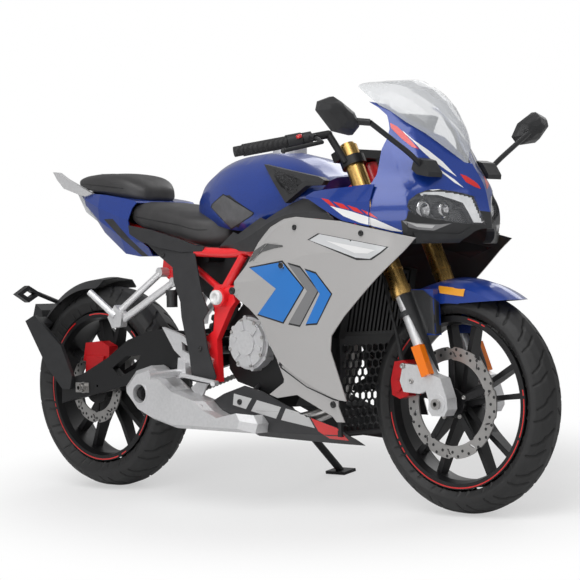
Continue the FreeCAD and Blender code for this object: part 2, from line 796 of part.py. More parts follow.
def swingarm():
    """Box-section swingarm with a window in each arm, a pivot tube and a crossbar."""
    outline = [
        (-103, 256), (-31, 272), (98, 296), (200, 318), (360, 362), (480, 392),
        (PIVOT_X + 8, PIVOT_Z - 30), (PIVOT_X + 30, PIVOT_Z), (PIVOT_X + 8, PIVOT_Z + 30), (450, 478),
        (331, 482), (281, 474), (202, 451), (112, 398), (-6, 346), (-100, 326),
    ]
    window = [(132, 367), (165, 342), (234, 366), (257, 408), (190, 402)]
    inner = size("arm_inner")
    outer = inner + size("arm_wall")
    bits = []
    for side in (-1, 1):
        arm = slab(outline, side * inner, side * outer)
        arm = arm.cut(slab(window, side * (inner - 5), side * (outer + 5)))
        bits.append(arm)
    bits.append(wheel_axis_rod(PIVOT_X, PIVOT_Z, -inner, inner, 24))
    bits.append(block(348, 396, -inner, inner, 378, 430))
    whole = fuse(bits)
    whole = whole.cut(wheel_axis_rod(PIVOT_X, PIVOT_Z, -200, 200, 10))
    for side in (-1, 1):
        whole = whole.cut(wheel_axis_rod(62, 312, side * (outer - 20), side * (outer + 1), 4))
    return whole.cut(wheel_axis_rod(0, REAR_R, -200, 200, size("axle_radius")))


def rear_axle():
    """Rear axle with its nuts, spacers and the plates that set the chain's tension."""
    half = size("arm_inner") + size("arm_wall")
    shaft = wheel_axis_rod(0, REAR_R, -half - 22, half + 22, size("axle_radius"))
    bits = [shaft]
    for side in (-1, 1):
        bits.append(wheel_axis_rod(0, REAR_R, side * half, side * (half + 3), 17))
        bits.append(wheel_axis_rod(0, REAR_R, side * (half + 3), side * (half + 15), 14))
        bits.append(wheel_axis_rod(0, REAR_R, side * (size("rear_hub_width") / 2 + GAP + 10),
                                   side * size("arm_inner"), 14))
        bits.append(block(-34, 26, side * half, side * (half + 3), REAR_R - 15, REAR_R + 15))
    return fuse(bits).cut(wheel_axis_rod(0, REAR_R, -half - 30, half + 30, size("axle_bore")))


def pivot_bolt():
    """Bolt through the frame plates and the swingarm."""
    half = size("rail_spread") + 8
    bits = [wheel_axis_rod(PIVOT_X, PIVOT_Z, -half, half, 10)]
    for side in (-1, 1):
        bits.append(wheel_axis_rod(PIVOT_X, PIVOT_Z, side * half, side * (half + 8), 17))
    return fuse(bits)


def sprocket_radius(teeth):
    """Pitch radius of a sprocket."""
    return size("chain_pitch") / (2 * math.sin(math.pi / teeth))


SPROCKET_X = PIVOT_X + 78.0
SPROCKET_Z = PIVOT_Z + 4.0


def toothed_wheel(x, z, teeth, thick, bore):
    """Sprocket with pointed teeth between the chain's rollers."""
    radius = sprocket_radius(teeth)
    points = []
    for tooth in range(int(teeth)):
        for part, reach in ((0.0, radius + 4.5), (0.3, radius - 4.5), (0.7, radius - 4.5)):
            turn = 2 * math.pi * (tooth + part) / teeth
            points.append(at(x, 0, z).add(Vector(reach * math.sin(turn), 0, reach * math.cos(turn))))
    line = size("chain_line")
    face = Part.Face(ring_wire(points))
    wheel = face.extrude(Vector(0, thick, 0))
    wheel.translate(Vector(0, line - thick / 2, 0))
    hole = Part.makeCylinder(bore, thick + 10, at(x, line - thick / 2 - 5, z), Vector(0, 1, 0))
    return wheel.cut(hole)


def rear_sprocket():
    """Rear sprocket on its carrier, with lightening holes."""
    wheel = toothed_wheel(0, REAR_R, size("rear_sprocket_teeth"), 6.0, size("axle_radius") + 14)
    for step in range(6):
        turn = math.radians(60 * step)
        centre = Vector(62 * math.sin(turn), 60, REAR_R + 62 * math.cos(turn))
        wheel = wheel.cut(Part.makeCylinder(15, 60, centre, Vector(0, 1, 0)))
    hub = size("rear_hub_width") / 2
    carrier = wheel_axis_rod(0, REAR_R, hub, size("chain_line") - 3, 44)
    carrier = carrier.cut(wheel_axis_rod(0, REAR_R, hub - 5, 200, size("axle_radius") + 14))
    return wheel.fuse(carrier).removeSplitter()


def chain_path():
    """Pins of the chain, one after another around both sprockets."""
    big = sprocket_radius(size("rear_sprocket_teeth"))
    small = sprocket_radius(size("front_sprocket_teeth"))
    run_x = along(SPROCKET_X)
    run_z = SPROCKET_Z - REAR_R
    span = math.hypot(run_x, run_z)
    slope = math.atan2(run_z, run_x)
    spread = math.acos((big - small) / span)
    straight = math.sqrt(span ** 2 - (big - small) ** 2)
    wrap_big = 2 * math.pi - 2 * spread
    wrap_small = 2 * spread
    total = 2 * straight + big * wrap_big + small * wrap_small
    links = 2 * round(total / size("chain_pitch") / 2)
    pins = []
    for pin in range(links):
        gone = total * pin / links
        if gone < straight:
            turn = slope + spread
            pins.append((big * math.cos(turn) + gone * math.sin(turn),
                         big * math.sin(turn) - gone * math.cos(turn)))
            continue
        gone -= straight
        if gone < small * wrap_small:
            turn = slope + spread - gone / small
            pins.append((run_x + small * math.cos(turn), run_z + small * math.sin(turn)))
            continue
        gone -= small * wrap_small
        if gone < straight:
            turn = slope - spread
            pins.append((run_x + small * math.cos(turn) + gone * math.sin(turn),
                         run_z + small * math.sin(turn) - gone * math.cos(turn)))
            continue
        gone -= straight
        turn = slope - spread - gone / big
        pins.append((big * math.cos(turn), big * math.sin(turn)))
    return pins


def chain():
    """Drive chain as one loop whose plates swell at each pin and narrow between pins."""
    pins = chain_path()
    outer = []
    inner = []
    count = len(pins)
    for number in range(count):
        before = pins[number - 1]
        here = pins[number]
        after = pins[(number + 1) % count]
        for place, reach, ends in ((here, 7.0, (before, after)),
                                   (((here[0] + after[0]) / 2, (here[1] + after[1]) / 2), 4.4, (here, after))):
            dx = ends[1][0] - ends[0][0]
            dz = ends[1][1] - ends[0][1]
            length = math.hypot(dx, dz)
            away = (-dz / length * reach, dx / length * reach)
            outer.append(Vector(place[0] + away[0], 0, REAR_R + place[1] + away[1]))
            inner.append(Vector(place[0] - away[0], 0, REAR_R + place[1] - away[1]))
    plate = size("chain_plate")
    hole = Part.Face(ring_wire(inner)).extrude(Vector(0, plate, 0))
    band = Part.Face(ring_wire(outer)).extrude(Vector(0, plate, 0)).cut(hole)
    line = size("chain_line")
    half = size("chain_width") / 2
    bits = [band.translated(Vector(0, line - half, 0)), band.translated(Vector(0, line + half - plate, 0))]
    big = sprocket_radius(size("rear_sprocket_teeth")) + 14
    small = sprocket_radius(size("front_sprocket_teeth")) + 14
    for x, z in pins:
        clear_of_rear = math.hypot(x, z) > big
        clear_of_front = math.hypot(x - along(SPROCKET_X), z - SPROCKET_Z + REAR_R) > small
        if clear_of_rear and clear_of_front:
            start = Vector(x, line - half + plate / 2, REAR_R + z)
            bits.append(Part.makeCylinder(size("chain_roller"), 2 * half - plate, start, Vector(0, 1, 0)))
    return fuse(bits)


def front_sprocket():
    """Output sprocket on its shaft."""
    shaft = wheel_axis_rod(SPROCKET_X, SPROCKET_Z, 70, size("chain_line") + 8, 11)
    wheel = toothed_wheel(SPROCKET_X, SPROCKET_Z, size("front_sprocket_teeth"), 6.0, 10.9)
    return fuse([wheel, shaft])


def engine():
    """Crankcase with its finned cylinder and head, and the round covers on both sides."""
    case = slab([
        (608, 372), (640, 336), (760, 304), (880, 318), (926, 380), (926, 470), (880, 540), (790, 566),
        (668, 556), (612, 500),
    ], -104, 104)
    sump = slab([(690, 304), (720, 268), (830, 268), (860, 316)], -70, 70)
    rear_lug = block(606, 648, -40, 40, 500, 600)
    frame_shape = solids("frame")
    case = seated(fuse([case, sump, rear_lug]), frame_shape)
    pocket = wheel_axis_rod(SPROCKET_X, SPROCKET_Z, 70, 120, 56)
    case = case.cut(pocket).cut(slab([(500, 380), (640, 380), (640, 500), (500, 500)], 70, 120))
    clutch = [wheel_axis_rod(717, 446, -104, -134, 74), wheel_axis_rod(717, 446, -134, -146, 66),
              wheel_axis_rod(717, 446, -146, -152, 34)]
    for step in range(6):
        turn = math.radians(60 * step + 15)
        rib = Part.makeBox(26, 8, 12, Vector(36, -151, -6))
        rib.rotate(Vector(0, 0, 0), Vector(0, 1, 0), math.degrees(turn))
        rib.translate(at(717, 0, 446))
        clutch.append(rib)
    for step in range(8):
        turn = math.radians(45 * step + 10)
        clutch.append(wheel_axis_rod(717 + 72 * math.cos(turn), 446 + 72 * math.sin(turn), -104, -137, 7))
    small_cover = [wheel_axis_rod(806, 470, -104, -132, 33), wheel_axis_rod(806, 470, -132, -138, 24)]
    left = [wheel_axis_rod(790, 430, 104, 132, 66), wheel_axis_rod(790, 430, 132, 140, 48)]
    add("engine_covers", Part.makeCompound([fuse(clutch + small_cover), fuse(left)]))
    lean_x = 0.45
    fins = []
    for layer in range(9):
        rise = 552 + 15 * layer
        shift = (rise - 552) * lean_x
        fins.append(block(800 + shift, 920 + shift, -66, 66, rise, rise + 5))
    core = loft([
        [at(812, -56, 540), at(908, -56, 540), at(908, 56, 540), at(812, 56, 540)],
        [at(872, -56, 680), at(968, -56, 680), at(968, 56, 680), at(872, 56, 680)],
    ], True)
    head = slab([(866, 678), (982, 678), (1000, 742), (960, 764), (880, 760), (862, 730)], -72, 72)
    add("engine", seated(fuse([case, core, head] + fins), frame_shape))


def exhaust():
    """Header pipe and the low faceted muffler."""
    pipe = bent_tube([
        at(972, -10, 700), at(1012, -10, 694), at(1022, -12, 620), at(1010, -16, 500), at(1000, -24, 380),
        at(970, -40, 272), at(890, -90, 234), at(780, -130, 224),
    ], 20)
    add("exhaust_header", seated(pipe, solids("engine")))
    outline = [
        (265, 304), (265, 319), (311, 365), (376, 381), (482, 313), (590, 284), (629, 257), (695, 232),
        (784, 250), (800, 226), (790, 200), (479, 204), (383, 226), (318, 252),
    ]
    middle = (450.0, 286.0)

    def shrunk(share, y):
        """Outline drawn in towards its middle."""
        return [at(middle[0] + (x - middle[0]) * share, y, middle[1] + (z - middle[1]) * share)
                for x, z in outline]

    can = loft([shrunk(0.92, -131), shrunk(1.0, -142), shrunk(1.0, -190), shrunk(0.86, -212)], True)
    outlet = wheel_axis_rod(347, 300, -170, -240, 27)
    lip = wheel_axis_rod(347, 300, -190, -214, 31)
    can = fuse([can, lip]).cut(outlet)
    boss = wheel_axis_rod(587, 262, -180, -206, 14)
    can = fuse([can, boss])
    strap = slab([(500, 318), (520, 330), (PIVOT_X - 6, PIVOT_Z - 60), (PIVOT_X + 20, PIVOT_Z - 80),
                  (548, 296), (520, 296)], -size("rail_spread") - 8, -size("rail_spread") - 14)
    add("muffler", seated(fuse([can, strap]), solids("exhaust_header"), solids("frame")))


def radiator():
    """Radiator core with tanks, and the six-sided grille in the lower fairing."""
    core = slab([(1040, 470), (1058, 466), (1096, 640), (1078, 644)], -118, 118)
    grooves = []
    for step in range(14):
        y = -104 + step * 16
        cut = slab([(1054, 478), (1064, 476), (1098, 632), (1088, 634)], y - 4, y + 4)
        grooves.append(cut)
    core = core.cut(Part.makeCompound(grooves))
    tanks = []
    for side in (-1, 1):
        tanks.append(slab([(1032, 466), (1062, 460), (1102, 644), (1072, 650)], side * 118, side * 142))
    stays = []
    for side in (-1, 1):
        stays.append(rod(at(925, side * 128, 640), at(1078, side * 128, 632), 7))
    whole = fuse([core] + tanks + stays)
    add("radiator", seated(whole, solids("frame"), solids("exhaust_header")))


def tank():
    """Fuel tank with waisted sides, its knee pads and its cap."""
    stations = []
    for x, top, half, low in ((452, 884, 62, 800), (500, 930, 88, 790), (560, 958, 112, 778),
                              (640, 978, 134, 764), (740, 984, 150, 762), (830, 972, 160, 776),
                              (900, 944, 156, 790), (998, 902, 128, 806)):
        deep = top - low
        row = [(0, top), (0.5, top - 0.05 * deep), (0.8, top - 0.18 * deep), (0.97, top - 0.4 * deep),
               (1.0, top - 0.62 * deep), (0.94, top - 0.88 * deep), (0.8, low), (0, low)]
        right = [at(x, -share * half, z) for share, z in row]
        left = [at(x, share * half, z) for share, z in row[1:-1]]
        stations.append(right + left[::-1])
    body = loft(stations)
    pad = slab([(611, 862), (652, 862), (749, 812), (665, 768), (592, 822)], -200, 200)
    inner = slab([(560, 740), (800, 740), (800, 900), (560, 900)], -118, 118)
    pads = body.common(pad).cut(inner)
    body = body.cut(pads)
    cap_base = Part.makeCylinder(48, 40, at(760, 0, 955), Vector(0.03, 0, 1))
    body = body.cut(cap_base)
    add("fuel_tank", seated(body, solids("frame")))
    lid = Part.makeCylinder(30, 8, at(761, 0, 993), Vector(0.03, 0, 1))
    add("fuel_cap", fuse([cap_base, lid]))
    return pads


def seats(blades, pads):
    """Plain bodies of both seats, clear of the dark pieces beside them."""
    rider = []
    for x, top, half, low in ((240, 862, 96, 790), (300, 846, 112, 768), (360, 824, 124, 756),
                              (430, 802, 130, 740), (500, 800, 118, 722), (560, 812, 92, 716),
                              (598, 824, 72, 740)):
        row = [(0, top), (0.6, top - 2), (0.9, top - 16), (1.0, top - 38), (0.94, low), (0, low)]
        right = [at(x, -share * half, z) for share, z in row]
        left = [at(x, share * half, z) for share, z in row[1:-1]]
        rider.append(right + left[::-1])
    pillion = []
    for x, top, half, low in ((-50, 944, 62, 926), (-20, 953, 86, 912), (60, 950, 104, 888),
                              (160, 942, 112, 875), (250, 928, 112, 864), (320, 904, 98, 862),
                              (360, 872, 80, 860)):
        deep = top - low
        row = [(0, top), (0.6, top - 0.05 * deep), (0.9, top - 0.25 * deep), (1.0, top - 0.55 * deep),
               (0.92, low), (0, low)]
        right = [at(x, -share * half, z) for share, z in row]
        left = [at(x, share * half, z) for share, z in row[1:-1]]
        pillion.append(right + left[::-1])
    front = loft(rider)
    back = loft(pillion)
    cowl = solids("tail_cowl")
    front = seated(front, solids("fuel_tank"), pads, solids("frame"), cowl, blades)
    back = seated(back, solids("frame"), cowl, solids("grab_rails"))
    back = largest(back)
    add("pillion_seat", back)
    add("rider_seat", seated(front, back))


def tail():
    """Tail cowl, its dark side blades, the tail light and the grab rails."""
    def sections(inset):
        """Stations of the cowl, drawn in by an inset."""
        rows = []
        for x, top, half, low in ((-64, 904, 66, 894), (-14, 896, 96, 842), (72, 889, 118, 774),
                                  (174, 876, 126, 708), (240, 862, 128, 698), (300, 800, 134, 698)):
            row = [(half - 10, top), (half, top - (top - low) * 0.35), (half - 6, top - (top - low) * 0.7),
                   (half - 26, low)]
            rise = (-inset, 0, 0, inset)
            right = [at(x, -(across - inset), z + step) for (across, z), step in zip(row, rise)]
            left = [Vector(p.x, -p.y, p.z) for p in right]
            rows.append(right + left[::-1])
        return rows

    outside = loft(sections(0), True)
    inside = loft(sections(WALL), True)
    shell = outside.cut(inside.common(block(-52, 330, -200, 200, 600, 1000)))
    keep = slab([(-66, 905), (-10, 896), (69, 891), (250, 862), (228, 841), (215, 803), (220, 773),
                 (345, 697), (230, 694), (174, 702), (72, 770), (-14, 838)], -200, 200)
    shell = shell.common(keep)
    blade_cut = slab([(96, 813), (142, 813), (300, 682), (262, 690)], -200, 200)
    blade_skin = shell.common(blade_cut)
    shell = shell.cut(blade_cut)
    add("tail_cowl", seated(shell, solids("frame")))
    blades = seated(blade_skin, solids("frame"))
    rail = slab([(-151, 967), (-124, 964), (-86, 943), (-44, 925), (32, 893), (-1, 886), (-30, 892),
                 (-101, 914), (-131, 941)], -104, -92)
    rails = [rail, mirrored(rail)]
    cross = block(-30, -8, -104, 104, 896, 902)
    add("grab_rails", seated(fuse(rails + [cross]), solids("tail_cowl")))
    lamp = slab([(-77, 901), (-66, 904), (-14, 838), (20, 812), (56, 786), (-37, 840)], -70, 70)
    lamp = lamp.common(block(-100, 60, -70, 70, 780, 904))
    add("tail_light", seated(lamp, solids("tail_cowl"), solids("frame")))
    return blades


def side_panels(blades):
    """Dark covers between the seat and the swingarm pivot, with the blades below the tail cowl."""
    outline = [
        (247, 772), (374, 694), (433, 663), (442, 623), (475, 564), (482, 520), (516, 411), (525, 338),
        (607, 329), (623, 351), (589, 433), (571, 513), (592, 538), (567, 581), (524, 705), (514, 713),
    ]
    skin = level_skin([
        (300, [(220, 172), (420, 172), (640, 172)]),
        (440, [(220, 172), (420, 172), (640, 172)]),
        (560, [(220, 164), (420, 166), (640, 168)]),
        (690, [(220, 140), (420, 150), (640, 160)]),
        (790, [(220, 132), (420, 136), (640, 142)]),
    ], WALL)
    panel = seated(skin.common(slab(outline, -300, 0)), solids("frame"))
    add("side_panels", Part.makeCompound([panel, mirrored(panel)] + blades.Solids))


def fairing_skin(offset=0.0, thickness=None):
    """Outer skin of the right side between the tank and the belly pan."""
    wall = thickness or WALL
    return station_skin([
        (680, [(150 + offset, 740), (163 + offset, 660), (170 + offset, 600), (166 + offset, 520),
               (158 + offset, 420), (150 + offset, 240)]),
        (800, [(163 + offset, 800), (188 + offset, 704), (196 + offset, 620), (188 + offset, 530),
               (176 + offset, 420), (158 + offset, 240)]),
        (900, [(172 + offset, 830), (208 + offset, 760), (214 + offset, 650), (204 + offset, 540),
               (190 + offset, 420), (168 + offset, 240)]),
        (1000, [(178 + offset, 850), (220 + offset, 786), (226 + offset, 680), (214 + offset, 560),
                (198 + offset, 420), (176 + offset, 240)]),
        (1100, [(186 + offset, 850), (228 + offset, 780), (230 + offset, 690), (216 + offset, 570),
                (200 + offset, 430), (180 + offset, 240)]),
        (1200, [(190 + offset, 850), (228 + offset, 764), (228 + offset, 690), (214 + offset, 580),
                (198 + offset, 440), (178 + offset, 240)]),
        (1300, [(188 + offset, 850), (218 + offset, 744), (214 + offset, 690), (200 + offset, 600),
                (186 + offset, 440), (168 + offset, 240)]),
        (1420, [(160 + offset, 850), (190 + offset, 722), (188 + offset, 690), (176 + offset, 620),
                (166 + offset, 440), (150 + offset, 240)]),
    ], wall)


SILVER_EDGE = [
    (706, 620), (753, 660), (792, 700), (814, 725), (864, 765), (926, 785), (982, 789), (1152, 772),
    (1283, 744), (1386, 722), (1263, 623), (1141, 520), (1092, 470), (1084, 430), (1103, 368), (1125, 297),
    (1098, 299), (1020, 327), (937, 364), (873, 404), (848, 441), (812, 512), (769, 545), (710, 577),
]

SCOOP_EDGE = [(799, 941), (1018, 895), (1040, 885), (1032, 873), (979, 873), (909, 829), (850, 897)]

WING_EDGE = [
    (872, 414), (866, 400), (888, 351), (885, 341), (819, 307), (852, 298), (935, 309), (1063, 256),
    (1128, 188), (1089, 282), (1092, 312), (1020, 342), (940, 378),
]

SLOT_EDGE = [(790, 674), (863, 722), (912, 720), (918, 711), (867, 690), (817, 668)]

SLOT_BED = [(780, 673), (861, 731), (917, 728), (928, 709), (869, 682), (815, 659)]


def side_fairings(pads):
    """Silver side fairings with their lit turn strips and dark upper trim."""
    skin = fairing_skin()
    strip = slab([(1042, 724), (1081, 740), (1291, 701), (1309, 698), (1225, 672)], -300, 0)
    panel = skin.common(slab(SILVER_EDGE, -300, 0))
    lens = panel.common(strip)
    panel = panel.cut(strip)
    panel = panel.cut(slab(SLOT_EDGE, -300, 0))
    recess = fairing_skin(1 - WALL, WALL + 2).common(slab(SLOT_BED, -300, 0))
    wing = fairing_skin(-WALL - 3).common(slab(WING_EDGE, -300, 0))
    pegs = [rod(at(x, -260, z), at(x, -100, z), 6) for x, z in ((915, 384), (985, 352), (1060, 318))]
    pegs = fairing_skin(0, WALL + 6).common(Part.makeCompound(pegs))
    lug = rod(at(722, -140, 603), at(722, -184, 603), 9)
    stay = rod(at(930, -150, 660), at(930, -222, 660), 8)
    boss = rod(at(716, -183, 593), at(716, -172, 593), 13)
    panel = seated(fuse([panel, recess, wing, lug, stay, boss] + pegs.Solids), solids("frame"))
    add("side_fairings", both(panel))
    add("turn_strips", both(lens))
    trim_edge = [
        (609, 710), (675, 757), (700, 750), (794, 794), (828, 786), (923, 826), (971, 841), (1065, 815),
        (1125, 776), (968, 789), (926, 786), (864, 766), (814, 726), (792, 701), (763, 700),
    ]
    trim = station_skin([
        (600, [(146, 700), (150, 720), (142, 760)]),
        (715, [(156, 690), (162, 730), (150, 770)]),
        (810, [(186, 690), (182, 760), (160, 800)]),
        (900, [(206, 740), (196, 790), (164, 830)]),
        (984, [(218, 770), (206, 800), (166, 840)]),
        (1130, [(224, 760), (214, 800), (176, 850)]),
    ], WALL).common(slab(trim_edge, -300, 0))
    trim = seated(trim, panel, solids("frame"), solids("fuel_tank"))
    scoop = station_skin([
        (790, [(120, 800), (168, 830), (164, 900), (140, 950)]),
        (900, [(120, 800), (178, 830), (172, 890), (146, 950)]),
        (1060, [(120, 800), (166, 840), (160, 880), (130, 950)]),
    ], 22).common(slab(SCOOP_EDGE, -300, 0))
    mesh_bed = slab([(834, 928), (955, 892), (967, 882), (922, 858), (890, 873)], -300, -163)
    scoop = seated(scoop.cut(mesh_bed), solids("fuel_tank"), solids("frame"), trim)
    pieces = [trim, mirrored(trim), scoop, mirrored(scoop)] + pads.Solids
    add("tank_trims", Part.makeCompound([solid for piece in pieces for solid in piece.Solids]))


def belly_pan():
    """Dark belly pan below the engine, drawn in behind the front tyre."""
    edge = [
        (591, 284), (634, 304), (712, 328), (783, 313), (833, 294), (962, 247), (1040, 222), (1082, 188),
        (1098, 172), (747, 188), (732, 200), (700, 230), (599, 266),
    ]
    skin = station_skin([
        (580, [(148, 340), (152, 270), (140, 200), (110, 165)]),
        (740, [(148, 340), (156, 260), (142, 200), (110, 165)]),
        (900, [(150, 340), (156, 260), (140, 200), (104, 165)]),
        (1030, [(144, 340), (146, 260), (126, 200), (92, 165)]),
        (1106, [(114, 340), (110, 260), (98, 200), (78, 165)]),
    ], WALL)
    half = skin.common(slab(edge, -300, 0))
    half = fuse([half, rod(at(724, -150, 300), at(724, -96, 330), 6)])
    brace = rod(at(1050, -118, 205), at(1050, 118, 205), 5)
    pan = fuse([half, mirrored(half), brace])
    add("belly_pan", seated(pan, solids("muffler"), solids("exhaust_header"), solids("engine")))


def hexagon_holes(x, y_count, z_count, pitch, reach, z_low):
    """Rows of six-sided prisms along X, each row offset by half a pitch."""
    holes = []
    for row in range(z_count):
        z = z_low + row * pitch * 0.866
        for column in range(y_count):
            y = (column - (y_count - 1) / 2 + 0.5 * (row % 2) - 0.25) * pitch
            corners = [at(x, y + reach * math.sin(math.radians(60 * k)), z + reach * math.cos(math.radians(60 * k)))
                       for k in range(6)]
            holes.append(Part.Face(ring_wire(corners)).extrude(Vector(60, 0, 0)))
    return holes


def lower_grille():
    """Six-sided mesh across the lower duct, between the radiator and the belly pan."""
    plate = slab([(1044, 196), (1051, 196), (1051, 470), (1044, 470)], -128, 128)
    rim = slab([(1040, 196), (1053, 196), (1053, 470), (1040, 470)], -128, 128)
    rim = rim.cut(block(1000, 1100, -118, 118, 208, 456))
    plate = plate.cut(Part.makeCompound(hexagon_holes(1020, 9, 11, 25.0, 12.4, 216)))
    add("lower_grille", seated(fuse([plate, rim]), solids("belly_pan"), solids("radiator"),
                               solids("exhaust_header")))


NOSE_LEVELS = [
    (708, [(1250, 206), (1346, 190), (1374, 128), (1418, 60), (1440, 0)]),
    (766, [(1250, 220), (1352, 194), (1386, 130), (1440, 54), (1474, 0)]),
    (806, [(1250, 218), (1350, 192), (1384, 130), (1440, 52), (1466, 0)]),
    (846, [(1240, 204), (1334, 178), (1382, 126), (1438, 48), (1456, 0)]),
    (880, [(1222, 190), (1308, 164), (1370, 116), (1420, 44), (1438, 0)]),
    (915, [(1212, 178), (1292, 158), (1346, 120), (1394, 36), (1414, 0)]),
    (985, [(1190, 164), (1262, 140), (1310, 104), (1346, 40), (1360, 0)]),
    (1060, [(1160, 154), (1198, 140), (1230, 114), (1262, 40), (1272, 0)]),
    (1124, [(1112, 150), (1146, 138), (1172, 110), (1196, 40), (1204, 0)]),
]

LENS_EDGE = [
    (-191, 803), (-184, 818), (-160, 835), (-137, 845), (-110, 847), (-70, 839), (-33, 827), (-22, 790),
    (-12, 755), (-60, 757), (-100, 764), (-138, 772), (-172, 782), (-188, 793),
]

STRIP_EDGE = [
    (-150, 836), (-137, 841), (-110, 843), (-72, 836), (-37, 825), (-26, 790), (-17, 759), (-38, 760),
    (-48, 786), (-60, 811), (-80, 820), (-112, 832), (-137, 833), (-148, 828),
]

CHIN_EDGE = [
    (-230, 690), (-230, 764), (-196, 768), (-190, 792), (-172, 786), (-138, 776), (-100, 768), (-60, 761),
    (-22, 790), (0, 787),
]

LIP_EDGE = [
    (-179, 736), (-76, 730), (-50, 748), (-25, 744), (25, 744), (50, 748), (76, 730), (179, 736), (168, 707),
    (-168, 707),
]

CHIN_NOTCH = [(-70, 690), (-64, 716), (-42, 737), (-25, 744), (25, 744), (42, 737), (64, 716), (70, 690)]


def nose_solid(inset):
    """Solid of the nose, drawn in by an inset."""
    rows = []
    for z, row in NOSE_LEVELS:
        right = [at(x - inset, -max(across - inset, 0), z) for x, across in row]
        left = [Vector(p.x, -p.y, p.z) for p in right[:-1]]
        rows.append(right + left[::-1])
    return loft(rows)


def plan_slab(outline, z_from, z_to):
    """Plan-view outline, drawn in X and Y, pushed up from one height to another."""
    corners = [at(x, y, z_from) for x, y in outline]
    face = Part.Face(Part.makePolygon(corners + corners[:1]))
    return face.extrude(Vector(0, 0, z_to - z_from))


def lamp_bodies(shell_inside):
    """White running-light strip and round reflectors on the back plate of the right headlight."""
    opening = front_slab(LENS_EDGE, 1240, 1520)
    hollow = plan_slab([(1200, -240), (1300, -200), (1334, -184), (1370, -122), (1424, -44), (1448, -8),
                        (1200, -8)], 700, 900)
    strip = shell_inside.common(front_slab(STRIP_EDGE, 1240, 1520)).cut(hollow)
    back = plan_slab([(1306, -190), (1352, -114), (1406, -38), (1424, -10), (1417, -10), (1400, -36),
                      (1346, -110), (1300, -184)], 740, 856)
    bowls = []
    for y, reach, radius in ((-132, 1366, 29), (-84, 1392, 22)):
        bowl = rod(at(reach - 56, y, 794), at(reach, y, 794), radius)
        bowls.append(bowl.cut(Part.makeSphere(radius * 1.25, at(reach + radius * 0.45, y, 794))))
    arms = [rod(at(1300, y, z), at(1500, y, z), 5).cut(back) for y, z in ((-112, 838), (-54, 800))]
    lamp = fuse([strip, back] + bowls + arms)
    return lamp.common(shell_inside).common(opening)


def nose():
    """Nose cowl, headlights, chin and the screen."""
    inside = nose_solid(3.5)
    shell = nose_solid(0).cut(inside)
    blue_edge = [
        (1290, 742), (1356, 728), (1400, 719), (1500, 716), (1500, 880), (1425, 912), (1405, 918), (1345, 987),
        (1232, 1062), (1204, 1080), (1184, 1086), (1206, 1070), (1228, 1048), (1246, 1010), (1248, 986),
        (1240, 956), (1240, 890), (1232, 866), (1232, 760),
    ]
    nose_shell = shell.common(slab(blue_edge, -300, 300))
    lens_prism = front_slab(LENS_EDGE, 1240, 1520)
    lens = nose_shell.common(lens_prism)
    nose_shell = nose_shell.cut(lens_prism).cut(mirrored(lens_prism))
    chin_prism = front_slab(CHIN_EDGE + [(-y, z) for y, z in CHIN_EDGE[-2::-1]], 1336, 1520)
    chin = nose_shell.common(chin_prism)
    nose_shell = nose_shell.cut(chin_prism)
    add("nose_cowl", largest(nose_shell))
    add("headlight_lenses", both(lens))
    lip = nose_solid(-3).cut(nose_solid(14)).common(front_slab(LIP_EDGE, 1336, 1520))
    chin = fuse([chin, lip]).cut(front_slab(CHIN_NOTCH, 1240, 1520))
    add("chin_duct", largest(seated(chin, nose_shell, lens, mirrored(lens))))
    lamp = largest(seated(lamp_bodies(inside), lens, nose_shell, chin))
    add("headlight_bodies", both(lamp))
    arches = []
    for x, half, edge, top in ((1122, 112, 1132, 1150), (1160, 124, 1108, 1151), (1206, 126, 1076, 1150),
                               (1233, 113, 1060, 1148), (1280, 104, 1027, 1124), (1325, 80, 996, 1088),
                               (1374, 46, 950, 1028), (1408, 10, 911, 950)):
        outer = []
        inner = []
        for step in range(11):
            turn = math.pi * step / 10
            outer.append(at(x, -half * math.cos(turn), edge + (top - edge) * math.sin(turn)))
            inner.append(at(x, -(half - WALL) * math.cos(turn), edge + (top - edge - WALL) * math.sin(turn)))
        arches.append(outer + inner[::-1])
    screen = loft(arches, True)
    add("windscreen", largest(seated(screen, nose_shell)))
    side_sets = station_skin([
        (1000, [(196, 834), (206, 846), (196, 852)]),
        (1100, [(228, 790), (218, 830), (190, 862)]),
        (1200, [(230, 764), (224, 820), (186, 880)]),
        (1256, [(226, 752), (222, 820), (188, 900)]),
    ], WALL)
    side_edge = [(1005, 836), (1024, 834), (1161, 773), (1250, 755), (1250, 864), (1214, 865), (1031, 857)]
    side = side_sets.common(slab(side_edge, -300, 0))
    side = seated(side, nose_shell, solids("side_fairings"), solids("tank_trims"))
    add("cowl_sides", both(largest(side)))


